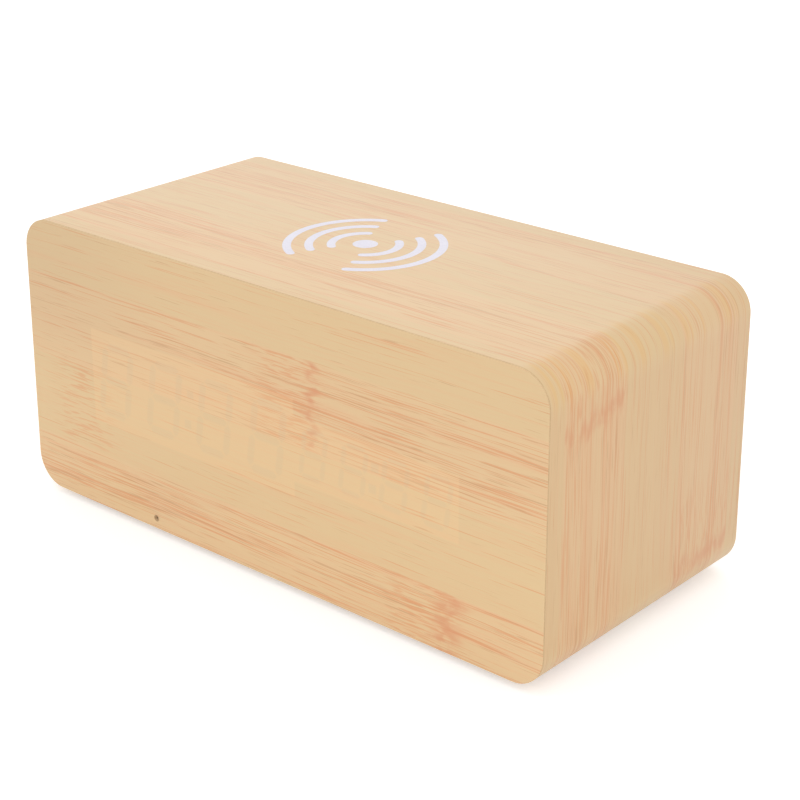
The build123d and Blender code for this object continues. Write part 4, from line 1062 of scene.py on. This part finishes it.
def build_object():
    """Dress the CAD nodes, and set the pieces that stand for nodes or are added to them."""
    dress_nodes()
    stand_for(wrap_film(), "case", "bamboo_film", "wrap_film")
    stand_for(front_film(), "case", "bamboo_film", "front_film")
    stand_for(back_film(), "case", "bamboo_film", "back_film")
    stand_for(top_mark(), "case", "white_plastic")
    stand_for(control_face(), "case", "black_plastic", "control_panel")
    for name, sign in (("set", "dot"), ("up", "up"), ("down", "down")):
        cap = button_cap("button_cap_" + name, "button_" + name, sign)
        stand_for(cap, name + "_button", "black_gloss", "button_" + name)
    places = [(x, BACK, z) for x, z in screw_places()]
    heads = cross_screws("back_screw_heads", places, (0, 1, 0), BLACK_STEEL)
    stand_for(heads, "case", "black_steel", "back_screws")
    low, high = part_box("tray_screws")
    half = SCREW_HEAD / 2
    places = [(low.x + half, low.y + half, BOTTOM), (high.x - half, high.y - half, BOTTOM)]
    heads = cross_screws("tray_screw_heads", places, (0, 0, -1), BLACK_STEEL)
    stand_for(heads, "case", "black_steel", "tray_screws")
    stand_for(foot_pads(), "case", "rubber", "feet")


# Stage, light and camera

def background_rays(tree):
    """1 for a ray from the camera, off gloss or through glass, which all see the background white."""
    path = tree.nodes.new("ShaderNodeLightPath")
    seen = path.outputs["Is Camera Ray"]
    for ray in ("Is Glossy Ray", "Is Transmission Ray"):
        either = tree.nodes.new("ShaderNodeMath")
        either.operation = "MAXIMUM"
        tree.links.new(seen, either.inputs[0])
        tree.links.new(path.outputs[ray], either.inputs[1])
        seen = either.outputs[0]
    return seen


def floor():
    """Matt pale floor that keeps the shadow, looks white around it and is clear from below."""
    bm = bmesh.new()
    bmesh.ops.create_grid(bm, x_segments=1, y_segments=1, size=FLOOR_SIZE)
    g = Graph("floor")
    g.shader.inputs["Base Color"].default_value = (FLOOR_SHADE, FLOOR_SHADE, FLOOR_SHADE, 1)
    g.shader.inputs["Roughness"].default_value = 0.9
    g.shader.inputs["Specular IOR Level"].default_value = 0.0
    glow = g.node("ShaderNodeEmission")
    g.feed(glow.inputs["Strength"], g.times(background_rays(g.tree), FLOOR_GLOW))
    both = g.node("ShaderNodeAddShader")
    g.feed(both.inputs[0], g.shader.outputs[0])
    g.feed(both.inputs[1], glow.outputs[0])
    under = g.node("ShaderNodeNewGeometry")
    clear = g.node("ShaderNodeBsdfTransparent")
    sides = g.node("ShaderNodeMixShader")
    g.feed(sides.inputs[0], under.outputs["Backfacing"])
    g.feed(sides.inputs[1], both.outputs[0])
    g.feed(sides.inputs[2], clear.outputs[0])
    g.feed(g.tree.nodes["Material Output"].inputs[0], sides.outputs[0])
    made = make_object(bm, "floor", [g.material])


def area_light(name, place, target, size, power):
    data = bpy.data.lights.new(name, "AREA")
    data.shape = "DISK"
    data.size = size
    data.energy = power
    lamp = bpy.data.objects.new(name, data)
    lamp.location = place
    lamp.rotation_euler = (Vector(target) - Vector(place)).to_track_quat("-Z", "Y").to_euler()
    bpy.context.scene.collection.objects.link(lamp)


def studio():
    """White surround, a little weaker as light on matt surfaces, and the lamps."""
    world = bpy.data.worlds.new("studio")
    bpy.context.scene.world = world
    world.use_nodes = True
    tree = world.node_tree
    back = tree.nodes["Background"]
    back.inputs["Color"].default_value = (1, 1, 1, 1)
    level = tree.nodes.new("ShaderNodeMapRange")
    level.inputs["To Min"].default_value = SURROUND
    tree.links.new(background_rays(tree), level.inputs["Value"])
    tree.links.new(level.outputs[0], back.inputs["Strength"])
    for name, place, size, power in LAMPS:
        area_light(name, place, (0, 0, MIDDLE), size, power)


def photo_camera():
    data = bpy.data.cameras.new("photo_camera")
    data.lens = LENS
    data.sensor_width = SENSOR
    data.shift_y = RISE
    data.clip_start = NEAREST
    camera = bpy.data.objects.new("photo_camera", data)
    bpy.context.scene.collection.objects.link(camera)
    camera.location = EYE
    level = math.cos(ELEVATION)
    ahead = Vector((-level * math.sin(AZIMUTH), level * math.cos(AZIMUTH), -math.sin(ELEVATION)))
    camera.rotation_euler = ahead.to_track_quat("-Z", "Y").to_euler()
    bpy.context.scene.camera = camera


build_object()
floor()
studio()
photo_camera()
bpy.context.scene.view_settings.view_transform = "Standard"
